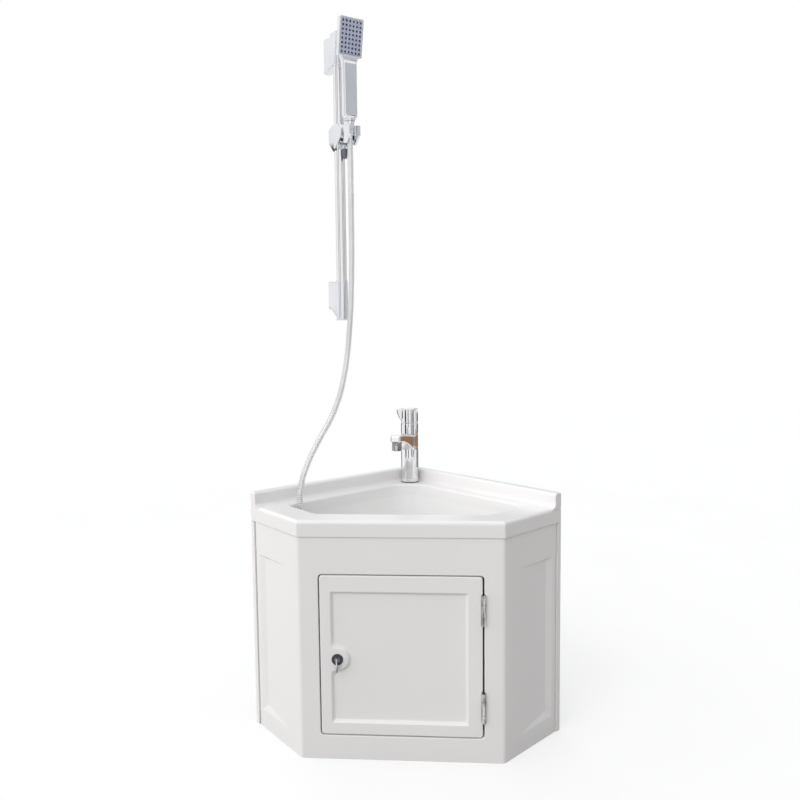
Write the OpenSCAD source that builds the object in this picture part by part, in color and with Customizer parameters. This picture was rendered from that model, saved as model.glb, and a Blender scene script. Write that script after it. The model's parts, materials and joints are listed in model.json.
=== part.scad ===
// Corner vanity unit: a cabinet and basin that fill a room corner, with a pillar tap and a rail shower.
// The two long sides lie against walls that meet at the back corner. +Z is up and the door faces -Y.

/* [Unit] */
// Length of each side that lies against a wall
wall_len = 500; // [470:5:560]
// Length of each short side that leaves a wall at a right angle
side_len = 192; // [184:2:210]
// Height of the basin deck above the floor
deck_h = 520; // [505:5:560]
// How far the basin's apron stands out past the cabinet
overhang = 2.5; // [1:0.5:6]

/* [Basin] */
// Height of the apron
apron_h = 36; // [28:1:44]
// Wall thickness of the basin moulding
basin_t = 8; // [6:0.5:9]
// Height of the upstand above the deck
upstand_h = 33; // [18:1:45]
// Thickness of the upstand
upstand_t = 20; // [14:1:24]
// Radius of the rim's soft edge
rim_r = 4; // [2:0.5:6]
// Depth of the bowl below the deck
bowl_depth = 150; // [130:2:156]
// Deck between the bowl and the outer face of the upstand
bowl_rear = 52; // [44:1:60]
// Deck between the bowl and a short side
bowl_side = 66; // [58:1:72]
// Deck between the bowl and the front
bowl_front = 62; // [52:1:72]
// Distance from the back corner to the bowl, which leaves room for the tap
tap_deck = 106; // [98:1:120]
// How far the bowl's wall leans in over its depth
bowl_taper = 34; // [24:1:40]
// Corner radius of the bowl
bowl_r = 24; // [14:1:30]
// Width of the hose shelf at the bowl's left end
shelf_w = 44; // [40:1:50]
// Drop from the deck to the hose shelf
shelf_drop = 30; // [22:1:36]

/* [Cabinet] */
// Wall thickness of the cabinet moulding
shell_t = 8; // [6:0.5:10]
// Radius of the cabinet's two front edges
front_r = 12; // [6:1:18]
// Thickness of the two back panels
back_t = 12; // [9:1:15]
// Shadow gap between a side and its back panel
seam_gap = 2; // [1:0.5:4]
// Width of the flange that each back panel is screwed to
flange_w = 24; // [18:1:32]
// Thickness of that flange
flange_t = 6; // [4:1:8]
// Height of the cabinet floor above the ground
floor_z = 26; // [16:1:32]
// Thickness of the cabinet floor
floor_t = 8; // [6:1:12]
// Depth of the sunk field in each side
side_recess = 5; // [2:0.5:5.5]

/* [Door] */
// Width of the door opening
opening_w = 350; // [330:2:360]
// Height of the door opening
opening_h = 353; // [330:1:380]
// Height of the opening's lower edge above the ground
opening_z = 52; // [46:1:60]
// Corner radius of the opening
opening_r = 9; // [4:1:14]
// Gap round the door, apart from the hinge side
door_gap = 2.5; // [2:0.5:4]
// Gap on the hinge side
hinge_gap = 3.5; // [3:0.5:5]
// Thickness of the door
door_t = 22; // [18:1:26]
// Thickness of the door's front moulding
door_front_t = 11; // [9:0.5:12]
// Width of the door's rim behind the front
door_rim = 12; // [10:1:16]
// Thickness of the door's back plate
door_back_t = 3; // [2:0.5:5]
// Depth of the door's sunk field
field_d = 6; // [3:0.5:7]
// Width of the field's sloping edge
field_bevel = 8; // [5:0.5:12]
// Left margin of the field
field_left = 23; // [18:1:30]
// Right margin of the field
field_right = 30; // [20:1:40]
// Top margin of the field
field_top = 35; // [25:1:45]
// Bottom margin of the field
field_bottom = 26; // [20:1:40]
// Thickness of the moulded frame behind the opening
frame_t = 6; // [4:0.5:8]
// Width of the stop that the door shuts against
lip_w = 10; // [6:1:14]
// Thickness of that stop
lip_t = 4; // [3:0.5:6]

/* [Hinges] */
// Height of a hinge
hinge_h = 63.5; // [50:0.5:76]
// Height of the lower hinge above the opening's lower edge
hinge_low = 38; // [30:1:60]
// Drop from the opening's upper edge to the upper hinge
hinge_high = 42; // [30:1:60]
// Outside radius of the knuckles
knuckle_r = 5; // [4:0.25:5.5]
// Radius of the hinge pin
hinge_pin_r = 2; // [1.5:0.25:2.5]
// Height of an end knuckle
end_knuckle = 17; // [14:0.5:18]
// Thickness of a hinge leaf
leaf_t = 1.2; // [0.8:0.1:1.3]
// Width of a hinge leaf
leaf_w = 17; // [14:1:18]
// How far the hinge pin's axis stands in front of the door
hinge_proud = 3; // [2.5:0.25:4]

/* [Lock] */
// Distance from the opening's left edge to the lock
lock_in = 39; // [36:1:48]
// Height of the lock above the opening's lower edge
lock_up = 168; // [140:2:220]
// Radius of the raised pad that the lock sits in
boss_r = 27; // [22:1:32]
// Radius of the lock's front ring
lock_ring_r = 12.7; // [12:0.1:15]
// Radius of the lock's body
lock_r = 9.5; // [9:0.25:10.5]
// Radius of the turning plug
plug_r = 6; // [5:0.25:7]
// Length of the locking cam from the lock's axis
cam_len = 36; // [34:1:38]
// How far the key stands out from the cabinet's front
key_reach = 13; // [10:0.5:20]

/* [Waste] */
// Distance from the back corner to the drain
drain_in = 265; // [250:5:285]
// Radius of the drain's rim
drain_rim_r = 33; // [30:0.5:36]
// Outside radius of the drain's tail
drain_r = 22; // [20:0.5:24]
// Length of the drain's tail below the bowl
drain_tail = 60; // [52:1:64]
// Radius of the plug
stopper_r = 28; // [25:0.5:29]
// Outside radius of the trap's cup
cup_r = 33; // [30:1:38]
// Depth of the trap's cup
cup_h = 98; // [80:2:110]
// Outside radius of the outlet pipe
outlet_r = 16; // [14:0.5:17]
// Wall thickness of the outlet pipe
outlet_wall = 1.8; // [1.2:0.1:2.5]

/* [Tap] */
// Distance from the back corner to the tap
tap_in = 66; // [65:1:70]
// How far the tap is turned towards the left
tap_swing = 15; // [0:1:25]
// Radius of the tap's body
tap_r = 22.8; // [20:0.1:24]
// Height of the tap's body
tap_body_h = 130; // [115:1:140]
// Height of the collar over the body
tap_collar_h = 31; // [24:1:36]
// Height of the turning cap
tap_cap_h = 38; // [30:1:44]
// Reach of the spout from the tap's axis to the outlet
spout_reach = 105; // [95:1:125]
// Radius of the outlet
aerator_r = 12.5; // [11:0.5:13]
// Radius of the tap's tail
tail_r = 13; // [11:0.5:14]
// Length of the tap's tail below the deck
tail_len = 90; // [70:2:100]

/* [Supply] */
// Distance along the left wall from the corner to the stop valve
valve_u = 294; // [290:1:298]
// Height of the stop valve
valve_z = 310; // [306:1:314]
// Distance from the wall to the stop valve's axis
valve_v = 50; // [48:1:52]
// Radius of the threaded inlet
inlet_r = 10.5; // [9:0.1:11]
// Radius of the riser pipe
riser_r = 5; // [4:0.5:6]

/* [Shower] */
// Distance along the left wall from the corner to the rail
rail_u = 262; // [258:1:266]
// Distance from the wall to the rail's axis
rail_v = 45; // [42:1:50]
// Outside radius of the rail
rail_r = 12.5; // [10:0.25:13]
// Height of the rail's lower bracket
rail_low = 948; // [930:2:960]
// Height of the tilting holder's pivot
slider_z = 1386; // [1382:1:1390]
// Height of the upper bracket's top over that pivot
rail_above = 238; // [220:2:260]
// Distance from the rail's axis to the hand shower's axis
shower_reach = 42; // [40:1:44]
// Width of the hand shower's head
head_w = 59; // [54:1:66]
// Height of the hand shower's head
head_h = 83; // [76:1:90]
// Thickness of the hand shower's head
head_t = 16; // [12:1:20]
// Forward tilt of the head
head_tilt = 12; // [6:1:18]
// How far the hand shower is turned in its cradle
hand_turn = 15; // [0:1:20]
// Width of the handle
handle_w = 35; // [30:1:40]
// Thickness of the handle
handle_t = 19; // [17:1:24]
// Length of the handle
handle_h = 146; // [136:1:160]
// Outside radius of the hose
hose_r = 7; // [6:0.25:7.25]
// Radius of the hose's bore
hose_bore = 4.5; // [3.5:0.25:5]
// Depth of the grooves between the hose's ribs
rib_depth = 0.7; // [0.3:0.1:1]
// Number of ribs on the visible stretch of hose
rib_count = 200; // [120:10:200]

/* [Hidden] */
$fn = 64;

white = [0.93, 0.93, 0.92];
chrome = [0.78, 0.79, 0.8];
steel = [0.6, 0.6, 0.6];
dark = [0.2, 0.2, 0.22];
brass = [0.75, 0.62, 0.35];
plastic = [0.85, 0.86, 0.86];
spray_blue = [0.6, 0.66, 0.76];

// Clearances
fit = 0.05;
slack = 0.3;
eps = 0.02;

// Plan of the unit
root2 = sqrt(2);
depth = (wall_len + side_len) / root2;
back_y = (depth + key_reach - overhang) / 2;
apron_y = back_y - depth;
face_y = apron_y + overhang;
shell_h = deck_h - apron_h;

// A plan point from its distances along the left wall (u) and the right wall (v)
function plan(p) = [(p[1] - p[0]) / root2, back_y - (p[0] + p[1]) / root2];
function plans(list) = [for (p = list) plan(p)];

function unit(a) = a / norm(a);
function turn_of(a, b) = atan2(a[0] * b[1] - a[1] * b[0], a * b);
function fillet(a, b, c, r, n) =
    let (
        p = unit(a - b),
        q = unit(c - b),
        bend = acos(p * q) / 2,
        reach = r / tan(bend),
        centre = b + unit(p + q) * r / sin(bend),
        from = b + p * reach - centre,
        turn = turn_of(from, b + q * reach - centre),
        start = atan2(from[1], from[0])
    )
    r == 0 ? [b] : [for (i = [0:n]) centre + r * [cos(start + turn * i / n), sin(start + turn * i / n)]];

// A polygon with a fillet at each corner; radii is one number or a list
function rounded(pts, radii, n = 6) =
    let (m = len(pts))
    [for (i = [0:m - 1])
        let (r = is_list(radii) ? radii[i] : radii)
        each fillet(pts[(i + m - 1) % m], pts[i], pts[(i + 1) % m], r, n)];
function rect(x0, x1, y0, y1) = [[x0, y0], [x1, y0], [x1, y1], [x0, y1]];
function regular(r, n) = [for (i = [0:n - 1]) r * [cos(i * 360 / n), sin(i * 360 / n)]];

// A plate in the plane of the door: points are x and z, and it reaches from y0 back by t
module front_plate(y0, t, pts) {
    translate([0, y0 + t, 0]) rotate([90, 0, 0]) linear_extrude(t) polygon(pts);
}
// Local axes of the left wall: x along the wall from the corner, y away from it
module on_left_wall() {
    translate([0, back_y, 0]) rotate([0, 0, 225]) children();
}
module on_right_wall() {
    mirror([1, 0, 0]) on_left_wall() children();
}
// A cylinder along the local y axis, from y0 for length h
module across(x, y0, z, h, r1, r2) {
    translate([x, y0, z]) rotate([-90, 0, 0]) cylinder(h = h, r1 = r1, r2 = r2);
}
module ring(z, h, outer, inner) {
    translate([0, 0, z]) difference() {
        cylinder(h = h, r = outer);
        translate([0, 0, -1]) cylinder(h = h + 2, r = inner);
    }
}
module hex_ring(z, h, outer, inner) {
    translate([0, 0, z]) difference() {
        linear_extrude(h) polygon(regular(outer, 6));
        translate([0, 0, -1]) cylinder(h = h + 2, r = inner);
    }
}
// Corners of the unit's outline, drawn in by o at the sides and front
function side_corner(o) = [wall_len - o, side_len - o * (root2 - 1)];
function swap(p) = [p[1], p[0]];

// Cabinet

side_face = wall_len - overhang;
side_rear = back_t + seam_gap;
inner_face = side_face - shell_t;
recess_rear = 28;
recess_deep = 46;
recess_front = 142;
recess_low = 42;
recess_top = 410;
recess_sill = 18;

module shell_walls() {
    inner = overhang + shell_t;
    outline = [
        [side_face, side_rear], side_corner(overhang), swap(side_corner(overhang)), [side_rear, side_face],
        [side_rear, inner_face], swap(side_corner(inner)), side_corner(inner), [inner_face, side_rear]
    ];
    inner_r = front_r / 2;
    linear_extrude(shell_h)
        polygon(rounded(plans(outline), [0, front_r, front_r, 0, 0, inner_r, inner_r, 0]));
}
// The flange that a back panel is screwed to
module shell_flange() {
    translate([inner_face - flange_w, back_t, 0]) cube([flange_w + eps, flange_t, shell_h]);
}
// The wedge cut away to sink the field in a side; it fades out towards the front
module side_field() {
    rear_slope = (recess_deep - recess_rear) / side_recess;
    front_slope = (recess_front - recess_deep) / side_recess;
    intersection() {
        linear_extrude(shell_h) polygon([
            [side_face + 1, recess_rear - rear_slope],
            [side_face - side_recess, recess_deep],
            [side_face + 1, recess_front + front_slope]
        ]);
        translate([0, side_len, 0]) rotate([90, 0, 0]) linear_extrude(side_len) polygon([
            [side_face + 1, recess_low - recess_sill / side_recess],
            [side_face - side_recess, recess_low + recess_sill],
            [side_face - side_recess, recess_top - 4],
            [side_face + 1, recess_top + 1]
        ]);
    }
}
opening_left = -opening_w / 2;
opening_right = opening_w / 2;
opening_top = opening_z + opening_h;
function opening(o) = rounded(
    rect(opening_left - o, opening_right + o, opening_z - o, opening_top + o), max(opening_r + o, 1));
stop_y = face_y + door_t + 0.6;
module door_frame() {
    difference() {
        front_plate(face_y + 1, stop_y + lip_t - face_y - 1, opening(frame_t));
        front_plate(face_y, stop_y - face_y, opening(0));
        front_plate(face_y, 2 * door_t, rounded(
            rect(opening_left + lip_w, opening_right, opening_z + lip_w, opening_top - lip_w), [2, 0, 0, 2]));
    }
}
hinge_x = opening_right - hinge_gap / 2;
hinge_y = face_y - hinge_proud;
hinge_zs = [opening_z + hinge_low, opening_top - hinge_high - hinge_h];
pocket_r = knuckle_r + 1;
module hinge_pockets() {
    for (z = hinge_zs)
        translate([hinge_x, hinge_y, z - 1.5]) cylinder(h = hinge_h + 3, r = pocket_r);
}
// Panel screws stand in the flanges, two rows of three on each wall
screw_end = 60;
screw_zs = [screw_end, shell_h / 2, shell_h - screw_end];
screw_u = inner_face - flange_w / 2;
screw_r = 2;
screw_head_r = 4;
module cabinet_shell() color(white) difference() {
    union() {
        shell_walls();
        on_left_wall() shell_flange();
        on_right_wall() shell_flange();
        door_frame();
    }
    front_plate(face_y - 1, door_t, opening(0));
    on_left_wall() side_field();
    on_right_wall() side_field();
    hinge_pockets();
    for (z = screw_zs) {
        on_left_wall() across(screw_u, back_t - 1, z, flange_t + 2, screw_r + fit, screw_r + fit);
        on_right_wall() across(screw_u, back_t - 1, z, flange_t + 2, screw_r + fit, screw_r + fit);
    }
    frame_screw_holes(opening_right - 1, frame_t + 2);
}
module back_panel(start) {
    difference() {
        translate([start, 0, 0]) cube([wall_len - start, back_t, shell_h]);
        for (z = screw_zs) {
            across(screw_u, -1, z, back_t + 2, screw_r + fit, screw_r + fit);
            across(screw_u, -1, z, 3 + 1, screw_head_r + slack, screw_head_r + slack);
        }
        children();
    }
}
union_r = 14;
module back_panel_left() color(white) on_left_wall() back_panel(0)
    across(valve_u, -1, valve_z, back_t + 2, union_r + slack, union_r + slack);
module back_panel_right() color(white) on_right_wall() back_panel(back_t)
    across(drain_u, -1, outlet_z, back_t + 2, outlet_r + slack, outlet_r + slack);
module panel_screw(z) {
    across(screw_u, 0.5, z, 2.5, screw_head_r, screw_head_r);
    across(screw_u, 3 - eps, z, back_t + flange_t - 3 + 1, screw_r, screw_r);
}
module panel_screws() color(steel) for (z = screw_zs) {
    on_left_wall() panel_screw(z);
    on_right_wall() panel_screw(z);
}
floor_gap = 0.3;
module floor_panel() color(white) {
    o = overhang + shell_t + floor_gap;
    notch = flange_w + shell_t + overhang + 2 * floor_gap;
    rear = back_t + floor_gap;
    past_flange = rear + flange_t + floor_gap;
    half = [
        [rear, rear], [wall_len - notch, rear], [wall_len - notch, past_flange], [wall_len - o, past_flange],
        side_corner(o)
    ];
    other = [for (i = [4:-1:1]) swap(half[i])];
    translate([0, 0, floor_z]) linear_extrude(floor_t) polygon(plans(concat(half, other)));
    // Rails under the floor carry it on the ground
    for (x = [-150, 0, 150]) translate([x - 5, -120, 0]) cube([10, 180, floor_z + eps]);
}

// Basin

// The bowl's outline, drawn in by i, with its left end at u = left
function bowl(i, left) =
    let (
        rear = bowl_rear + i,
        right = wall_len - bowl_side - i,
        front = wall_len + side_len - (bowl_front + i) * root2,
        corner = (tap_deck + i) * root2
    )
    rounded(plans([
        [left - i, rear], [left - i, front - left + i], [front - right, right], [rear, right],
        [rear, corner - rear], [corner - rear, rear]
    ]), bowl_r);
bowl_left = wall_len - bowl_side;
shelf_left = bowl_left - shelf_w;
bowl_floor = deck_h - bowl_depth;
shelf_z = deck_h - shelf_drop;
shelf_in = 2;
end_step = 1.5;
bowl_flare = 2;
module slab(z, pts) {
    translate([0, 0, z]) linear_extrude(eps) polygon(pts);
}
// The outline of the bowl's left end over the hose shelf, drawn in by i
function shelf_end(i) =
    let (
        rear = bowl_rear + i,
        front = wall_len + side_len - (bowl_front + i) * root2,
        start = shelf_left - 40
    )
    rounded(plans([
        [bowl_left - i, rear], [bowl_left - i, front - bowl_left + i], [start, front - start], [start, rear]
    ]), [bowl_r, bowl_r, 0, 0]);
module bowl_form(grow, upper, lower) {
    hull() {
        slab(upper, bowl(-bowl_flare - grow, shelf_left));
        slab(shelf_z, bowl(shelf_in - grow, shelf_left));
        slab(lower, bowl(bowl_taper - grow, shelf_left));
    }
    hull() {
        slab(upper, shelf_end(end_step - bowl_flare - grow));
        slab(shelf_z - grow, shelf_end(end_step + shelf_in - grow));
    }
}
// The upstand's section: distance from the wall and height
function upstand_section() =
    let (cove = 8)
    concat(
        [[0, deck_h - basin_t / 2], [upstand_t + cove, deck_h - basin_t / 2]],
        [for (i = [0:5]) [upstand_t + cove, deck_h + cove - slack] - cove * [sin(i * 18), cos(i * 18)]],
        fillet([upstand_t, deck_h], [upstand_t, deck_h + upstand_h], [0, deck_h + upstand_h], 7, 6),
        fillet([upstand_t, deck_h + upstand_h], [0, deck_h + upstand_h], [0, deck_h], 3, 3)
    );
module upstand(start) {
    translate([start, 0, 0]) rotate([90, 0, 90]) linear_extrude(wall_len - slack - start)
        polygon(upstand_section());
}
grommet_u = 416;
grommet_v = 78;
grommet_r = 10;
tap_y = back_y - tap_in;
tail_hole_r = tail_r + 4;
tap_seat = 0.5;
drain_y = back_y - drain_in;
drain_u = drain_in / root2;
module basin() color(white) difference() {
    union() {
        // Apron, rim and deck, hollow underneath
        difference() {
            hull() {
                slab(shell_h, basin_outline(0));
                slab(deck_h - rim_r, basin_outline(0));
                slab(deck_h - rim_r / 3, basin_outline(rim_r / 3));
                slab(deck_h - eps, basin_outline(rim_r));
            }
            translate([0, 0, shell_h - 1]) linear_extrude(apron_h - basin_t + 1)
                polygon(plans(basin_hollow()));
        }
        on_left_wall() upstand(0);
        on_right_wall() upstand(upstand_t / 2);
        bowl_form(basin_t, deck_h - basin_t, bowl_floor - basin_t);
    }
    bowl_form(0, deck_h + 1, bowl_floor);
    translate([0, drain_y, bowl_floor - 2.5]) cylinder(h = 3.5, r = drain_rim_r + slack);
    translate([0, drain_y, bowl_floor - 2 * basin_t]) cylinder(h = 4 * basin_t, r = drain_r + slack);
    translate([0, tap_y, deck_h - 2 * basin_t]) cylinder(h = 4 * basin_t, r = tail_hole_r);
    // Flat seat for the tap's foot
    translate([0, tap_y, deck_h - tap_seat]) cylinder(h = 12, r = tap_foot_r + 1);
    on_left_wall() translate([grommet_u, grommet_v, shelf_z - 2 * basin_t])
        cylinder(h = 4 * basin_t, r = grommet_r + fit);
}
function basin_outline(o) = rounded(plans([
    [slack, slack], [wall_len - o, slack], side_corner(o), swap(side_corner(o)), [slack, wall_len - o]
]), [0, 0, 3, 3, 0], 4);
function basin_hollow() =
    let (o = overhang + shell_t, rear = back_t)
    [[rear, rear], [wall_len - o, rear], side_corner(o), swap(side_corner(o)), [rear, wall_len - o]];

// Door

door_left = opening_left + door_gap;
door_right = opening_right - hinge_gap;
door_low = opening_z + door_gap;
door_top = opening_top - door_gap;
lock_x = opening_left + lock_in;
lock_z = opening_z + lock_up;
function door_rect(o, r) = rounded(rect(door_left + o, door_right - o, door_low + o, door_top - o), r);
function field(o) = rounded(rect(
    door_left + field_left + o, door_right - field_right - o,
    door_low + field_bottom + o, door_top - field_top - o), 5);
module boss() {
    foot = door_left + field_left - 2;
    front_plate(face_y - 1, field_d + 2, [
        for (a = [-60:10:60]) [lock_x, lock_z] + boss_r * [cos(a), sin(a)],
        [foot, lock_z + 42],
        [foot, lock_z - 42]
    ]);
}
module lock_bore(r) {
    across(lock_x, face_y - 5, lock_z, door_t + 20, r, r);
}
module door_skin() color(white) difference() {
    front_plate(face_y, door_t, door_rect(0, opening_r - 2));
    difference() {
        hull() {
            front_plate(face_y - eps, eps, field(0));
            front_plate(face_y + field_d, eps, field(field_bevel));
        }
        boss();
    }
    front_plate(face_y + door_front_t, door_t, door_rect(door_rim, 4));
    front_plate(face_y + door_t - door_back_t, door_t, door_rect(door_rim - 5, 4));
    lock_bore(lock_r + fit);
    hinge_pockets();
    door_screw_holes(door_right + 1, screw_len + 3);
}
module door_back() color(white) difference() {
    front_plate(face_y + door_t - door_back_t, door_back_t, door_rect(door_rim - 5 + slack, 4));
    lock_bore(lock_r + fit);
}

// Hinges

knuckle_gap = 0.5;
frame_spans = [[0, end_knuckle], [hinge_h - end_knuckle, end_knuckle]];
door_spans = [[end_knuckle + knuckle_gap, hinge_h - 2 * (end_knuckle + knuckle_gap)]];
leaf_y = hinge_y + hinge_pin_r + 1.5;
screw_len = 9;
hinge_screw_r = 1.4;
hinge_screw_head = 2.6;
hinge_screw_y = leaf_y + leaf_w - 6;
hinge_screw_zs = [for (z = hinge_zs) for (s = [11, hinge_h - 11]) z + s];
// A screw or hole along x
module along_x(x0, z, h, r) {
    translate([x0, hinge_screw_y, z]) rotate([0, 90, 0]) cylinder(h = h, r = r, $fn = 24);
}
module frame_screw_holes(x0, h) {
    for (z = hinge_screw_zs) along_x(x0, z, h, hinge_screw_r + fit);
}
module door_screw_holes(x1, h) {
    for (z = hinge_screw_zs) along_x(x1 - h, z, h, hinge_screw_r + fit);
}
module leaf(z0, on_frame) {
    x0 = on_frame ? opening_right - leaf_t : door_right;
    mine = on_frame ? frame_spans : door_spans;
    other = on_frame ? door_spans : frame_spans;
    head_x = on_frame ? x0 - 1 : x0 + leaf_t - 0.8;
    difference() {
        union() {
            translate([x0, leaf_y, z0]) cube([leaf_t, leaf_w, hinge_h]);
            for (s = mine) translate([hinge_x, hinge_y, z0 + s[0]]) cylinder(h = s[1], r = knuckle_r);
        }
        translate([hinge_x, hinge_y, z0 - 1]) cylinder(h = hinge_h + 2, r = hinge_pin_r + fit);
        for (s = other) translate([hinge_x, hinge_y, z0 + s[0] - knuckle_gap])
            cylinder(h = s[1] + 2 * knuckle_gap, r = knuckle_r + 0.6);
        for (z = hinge_screw_zs) {
            along_x(x0 - 1, z, leaf_t + 2, hinge_screw_r + fit);
            along_x(head_x, z, 1.8, hinge_screw_head + fit);
        }
    }
}
module hinge_pin(z0) {
    translate([hinge_x, hinge_y, z0 + 0.5]) cylinder(h = hinge_h - 0.5, r = hinge_pin_r);
    translate([hinge_x, hinge_y, z0 + hinge_h]) cylinder(h = 1.5, r = hinge_pin_r + 1);
}
module upper_frame_leaf() color(steel) leaf(hinge_zs[1], true);
module upper_door_leaf() color(steel) leaf(hinge_zs[1], false);
module upper_hinge_pin() color(steel) hinge_pin(hinge_zs[1]);
module lower_frame_leaf() color(steel) leaf(hinge_zs[0], true);
module lower_door_leaf() color(steel) leaf(hinge_zs[0], false);
module lower_hinge_pin() color(steel) hinge_pin(hinge_zs[0]);
module frame_hinge_screws() color(steel) for (z = hinge_screw_zs) {
    along_x(opening_right - leaf_t + 0.1, z, 0.7, hinge_screw_head);
    along_x(opening_right - leaf_t + 0.5, z, screw_len, hinge_screw_r);
}
module door_hinge_screws() color(steel) for (z = hinge_screw_zs) {
    along_x(door_right + leaf_t - 0.8, z, 0.7, hinge_screw_head);
    along_x(door_right + leaf_t - 0.5 - screw_len, z, screw_len, hinge_screw_r);
}

// Lock

lock_tail = 5;
cam_y = face_y + door_t + lock_tail + 0.3;
cam_t = 2;
module lock_body() color(dark) difference() {
    union() {
        across(lock_x, face_y - 2.5, lock_z, 2.5, lock_ring_r - 1, lock_ring_r);
        across(lock_x, face_y - eps, lock_z, door_t + lock_tail, lock_r, lock_r);
    }
    lock_bore(plug_r + fit);
}
module lock_nut() color(steel) translate([lock_x, face_y + door_t, lock_z]) rotate([-90, 0, 0])
    hex_ring(0, 3.5, 14, lock_r + fit);
module lock_plug() color(steel) {
    across(lock_x, face_y - 3, lock_z, cam_y - face_y + 3, plug_r, plug_r);
    across(lock_x, cam_y - eps, lock_z, cam_t + 1.5, plug_r - 2, plug_r - 2);
}
module lock_key() color(chrome) difference() {
    front_plate(face_y - key_reach, key_reach - 3, rounded(
        rect(lock_x - 1.5, lock_x + 1.5, lock_z - 23, lock_z + 7), 0.8, 3));
    translate([lock_x - 4, face_y - key_reach + 5, lock_z - 18]) rotate([0, 90, 0]) cylinder(h = 8, r = 2);
}
// The cam points up while the door is free, and turns left behind the stop to lock it
module lock_cam() color(steel) difference() {
    front_plate(cam_y, cam_t, rounded(rect(lock_x - 8, lock_x + 8, lock_z - 9, lock_z + cam_len), 5, 4));
    across(lock_x, cam_y - 1, lock_z, cam_t + 2, plug_r - 2 + fit, plug_r - 2 + fit);
}

// Waste

module at_drain() {
    translate([0, drain_y, 0]) children();
}
under_bowl = bowl_floor - basin_t;
tail_end = under_bowl - drain_tail;
stem_r = 4;
module drain_flange() color(chrome) at_drain() {
    difference() {
        union() {
            translate([0, 0, bowl_floor - 2.5]) cylinder(h = 2.5, r = drain_rim_r);
            translate([0, 0, tail_end]) cylinder(h = bowl_floor - tail_end - 1, r = drain_r);
        }
        translate([0, 0, tail_end - 1]) cylinder(h = bowl_floor - tail_end + 2, r = drain_r - 3);
    }
    difference() {
        union() {
            translate([0, 0, bowl_floor - 18]) cylinder(h = 10, r = stem_r + 3);
            for (a = [0, 90]) rotate([0, 0, a])
                translate([1 - drain_r, -1.5, bowl_floor - 16]) cube([2 * drain_r - 2, 3, 4]);
        }
        translate([0, 0, bowl_floor - 30]) cylinder(h = 40, r = stem_r + fit);
    }
}
module drain_gasket() color(dark) at_drain() ring(under_bowl - 3, 3, drain_rim_r - 2, drain_r + fit);
module drain_nut() color(plastic) at_drain() hex_ring(under_bowl - 13, 10, drain_rim_r + 2, drain_r + fit);
module drain_plug() color(chrome) at_drain() {
    translate([0, 0, bowl_floor + slack]) cylinder(h = 3, r1 = stopper_r, r2 = stopper_r - 2);
    translate([0, 0, bowl_floor - 34]) cylinder(h = 35, r = stem_r);
}
neck_h = 40;
head_top = tail_end - neck_h;
head_h_trap = 44;
head_low = head_top - head_h_trap;
outlet_z = head_low + head_h_trap / 2;
dip_r = drain_r - 5;
port_end = 58;
// The trap's outlet port and pipe run to the right wall
module outlet_run(from, to, r) {
    on_right_wall() across(drain_u, from, outlet_z, to - from, r, r);
}
module trap_nut() color(plastic) at_drain() hex_ring(tail_end - 10, 20, drain_r + 6, drain_r + fit);
module trap_head() color(plastic) difference() {
    union() {
        at_drain() translate([0, 0, head_top - 2]) cylinder(h = neck_h + 2, r = drain_r);
        at_drain() translate([0, 0, head_low]) cylinder(h = head_h_trap, r = cup_r + 3);
        at_drain() translate([0, 0, head_low - cup_h + 30]) cylinder(h = cup_h - 25, r = dip_r);
        outlet_run(drain_u - port_end, drain_u - 20, outlet_r + 2);
    }
    at_drain() translate([0, 0, head_low - cup_h])
        cylinder(h = cup_h + head_h_trap + neck_h + 5, r = dip_r - 2);
    at_drain() difference() {
        translate([0, 0, head_low - 1]) cylinder(h = head_h_trap - 5, r = cup_r - 2);
        translate([0, 0, head_low - 2]) cylinder(h = head_h_trap, r = dip_r);
    }
    outlet_run(drain_u - port_end - 1, drain_u - dip_r - 2, outlet_r - outlet_wall - 0.4);
}
module trap_cup() color(plastic) at_drain() difference() {
    union() {
        translate([0, 0, head_low - cup_h]) cylinder(h = cup_h, r = cup_r);
        // Grip ribs
        for (i = [0:7]) rotate([0, 0, (i + 0.5) * 45])
            translate([cup_r - 2, -3, head_low - cup_h + 4]) cube([5, 6, 34]);
    }
    translate([0, 0, head_low - cup_h + 4]) cylinder(h = cup_h, r = cup_r - 3);
}
module outlet_nut() color(plastic) difference() {
    on_right_wall() translate([drain_u, drain_u - port_end - 8, outlet_z]) rotate([-90, 0, 0])
        linear_extrude(18) polygon(regular(outlet_r + 8, 6));
    outlet_run(drain_u - port_end - 9, drain_u - port_end, outlet_r + fit);
    outlet_run(drain_u - port_end - eps, drain_u - 20, outlet_r + 2 + fit);
}
module outlet_pipe() color(plastic) difference() {
    outlet_run(0, drain_u - port_end, outlet_r);
    outlet_run(-1, drain_u, outlet_r - outlet_wall);
}
module outlet_seal() color(dark) difference() {
    outlet_run(back_t, back_t + 5, outlet_r + 10);
    outlet_run(0, back_t + 6, outlet_r + fit);
}

// Tap

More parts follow.
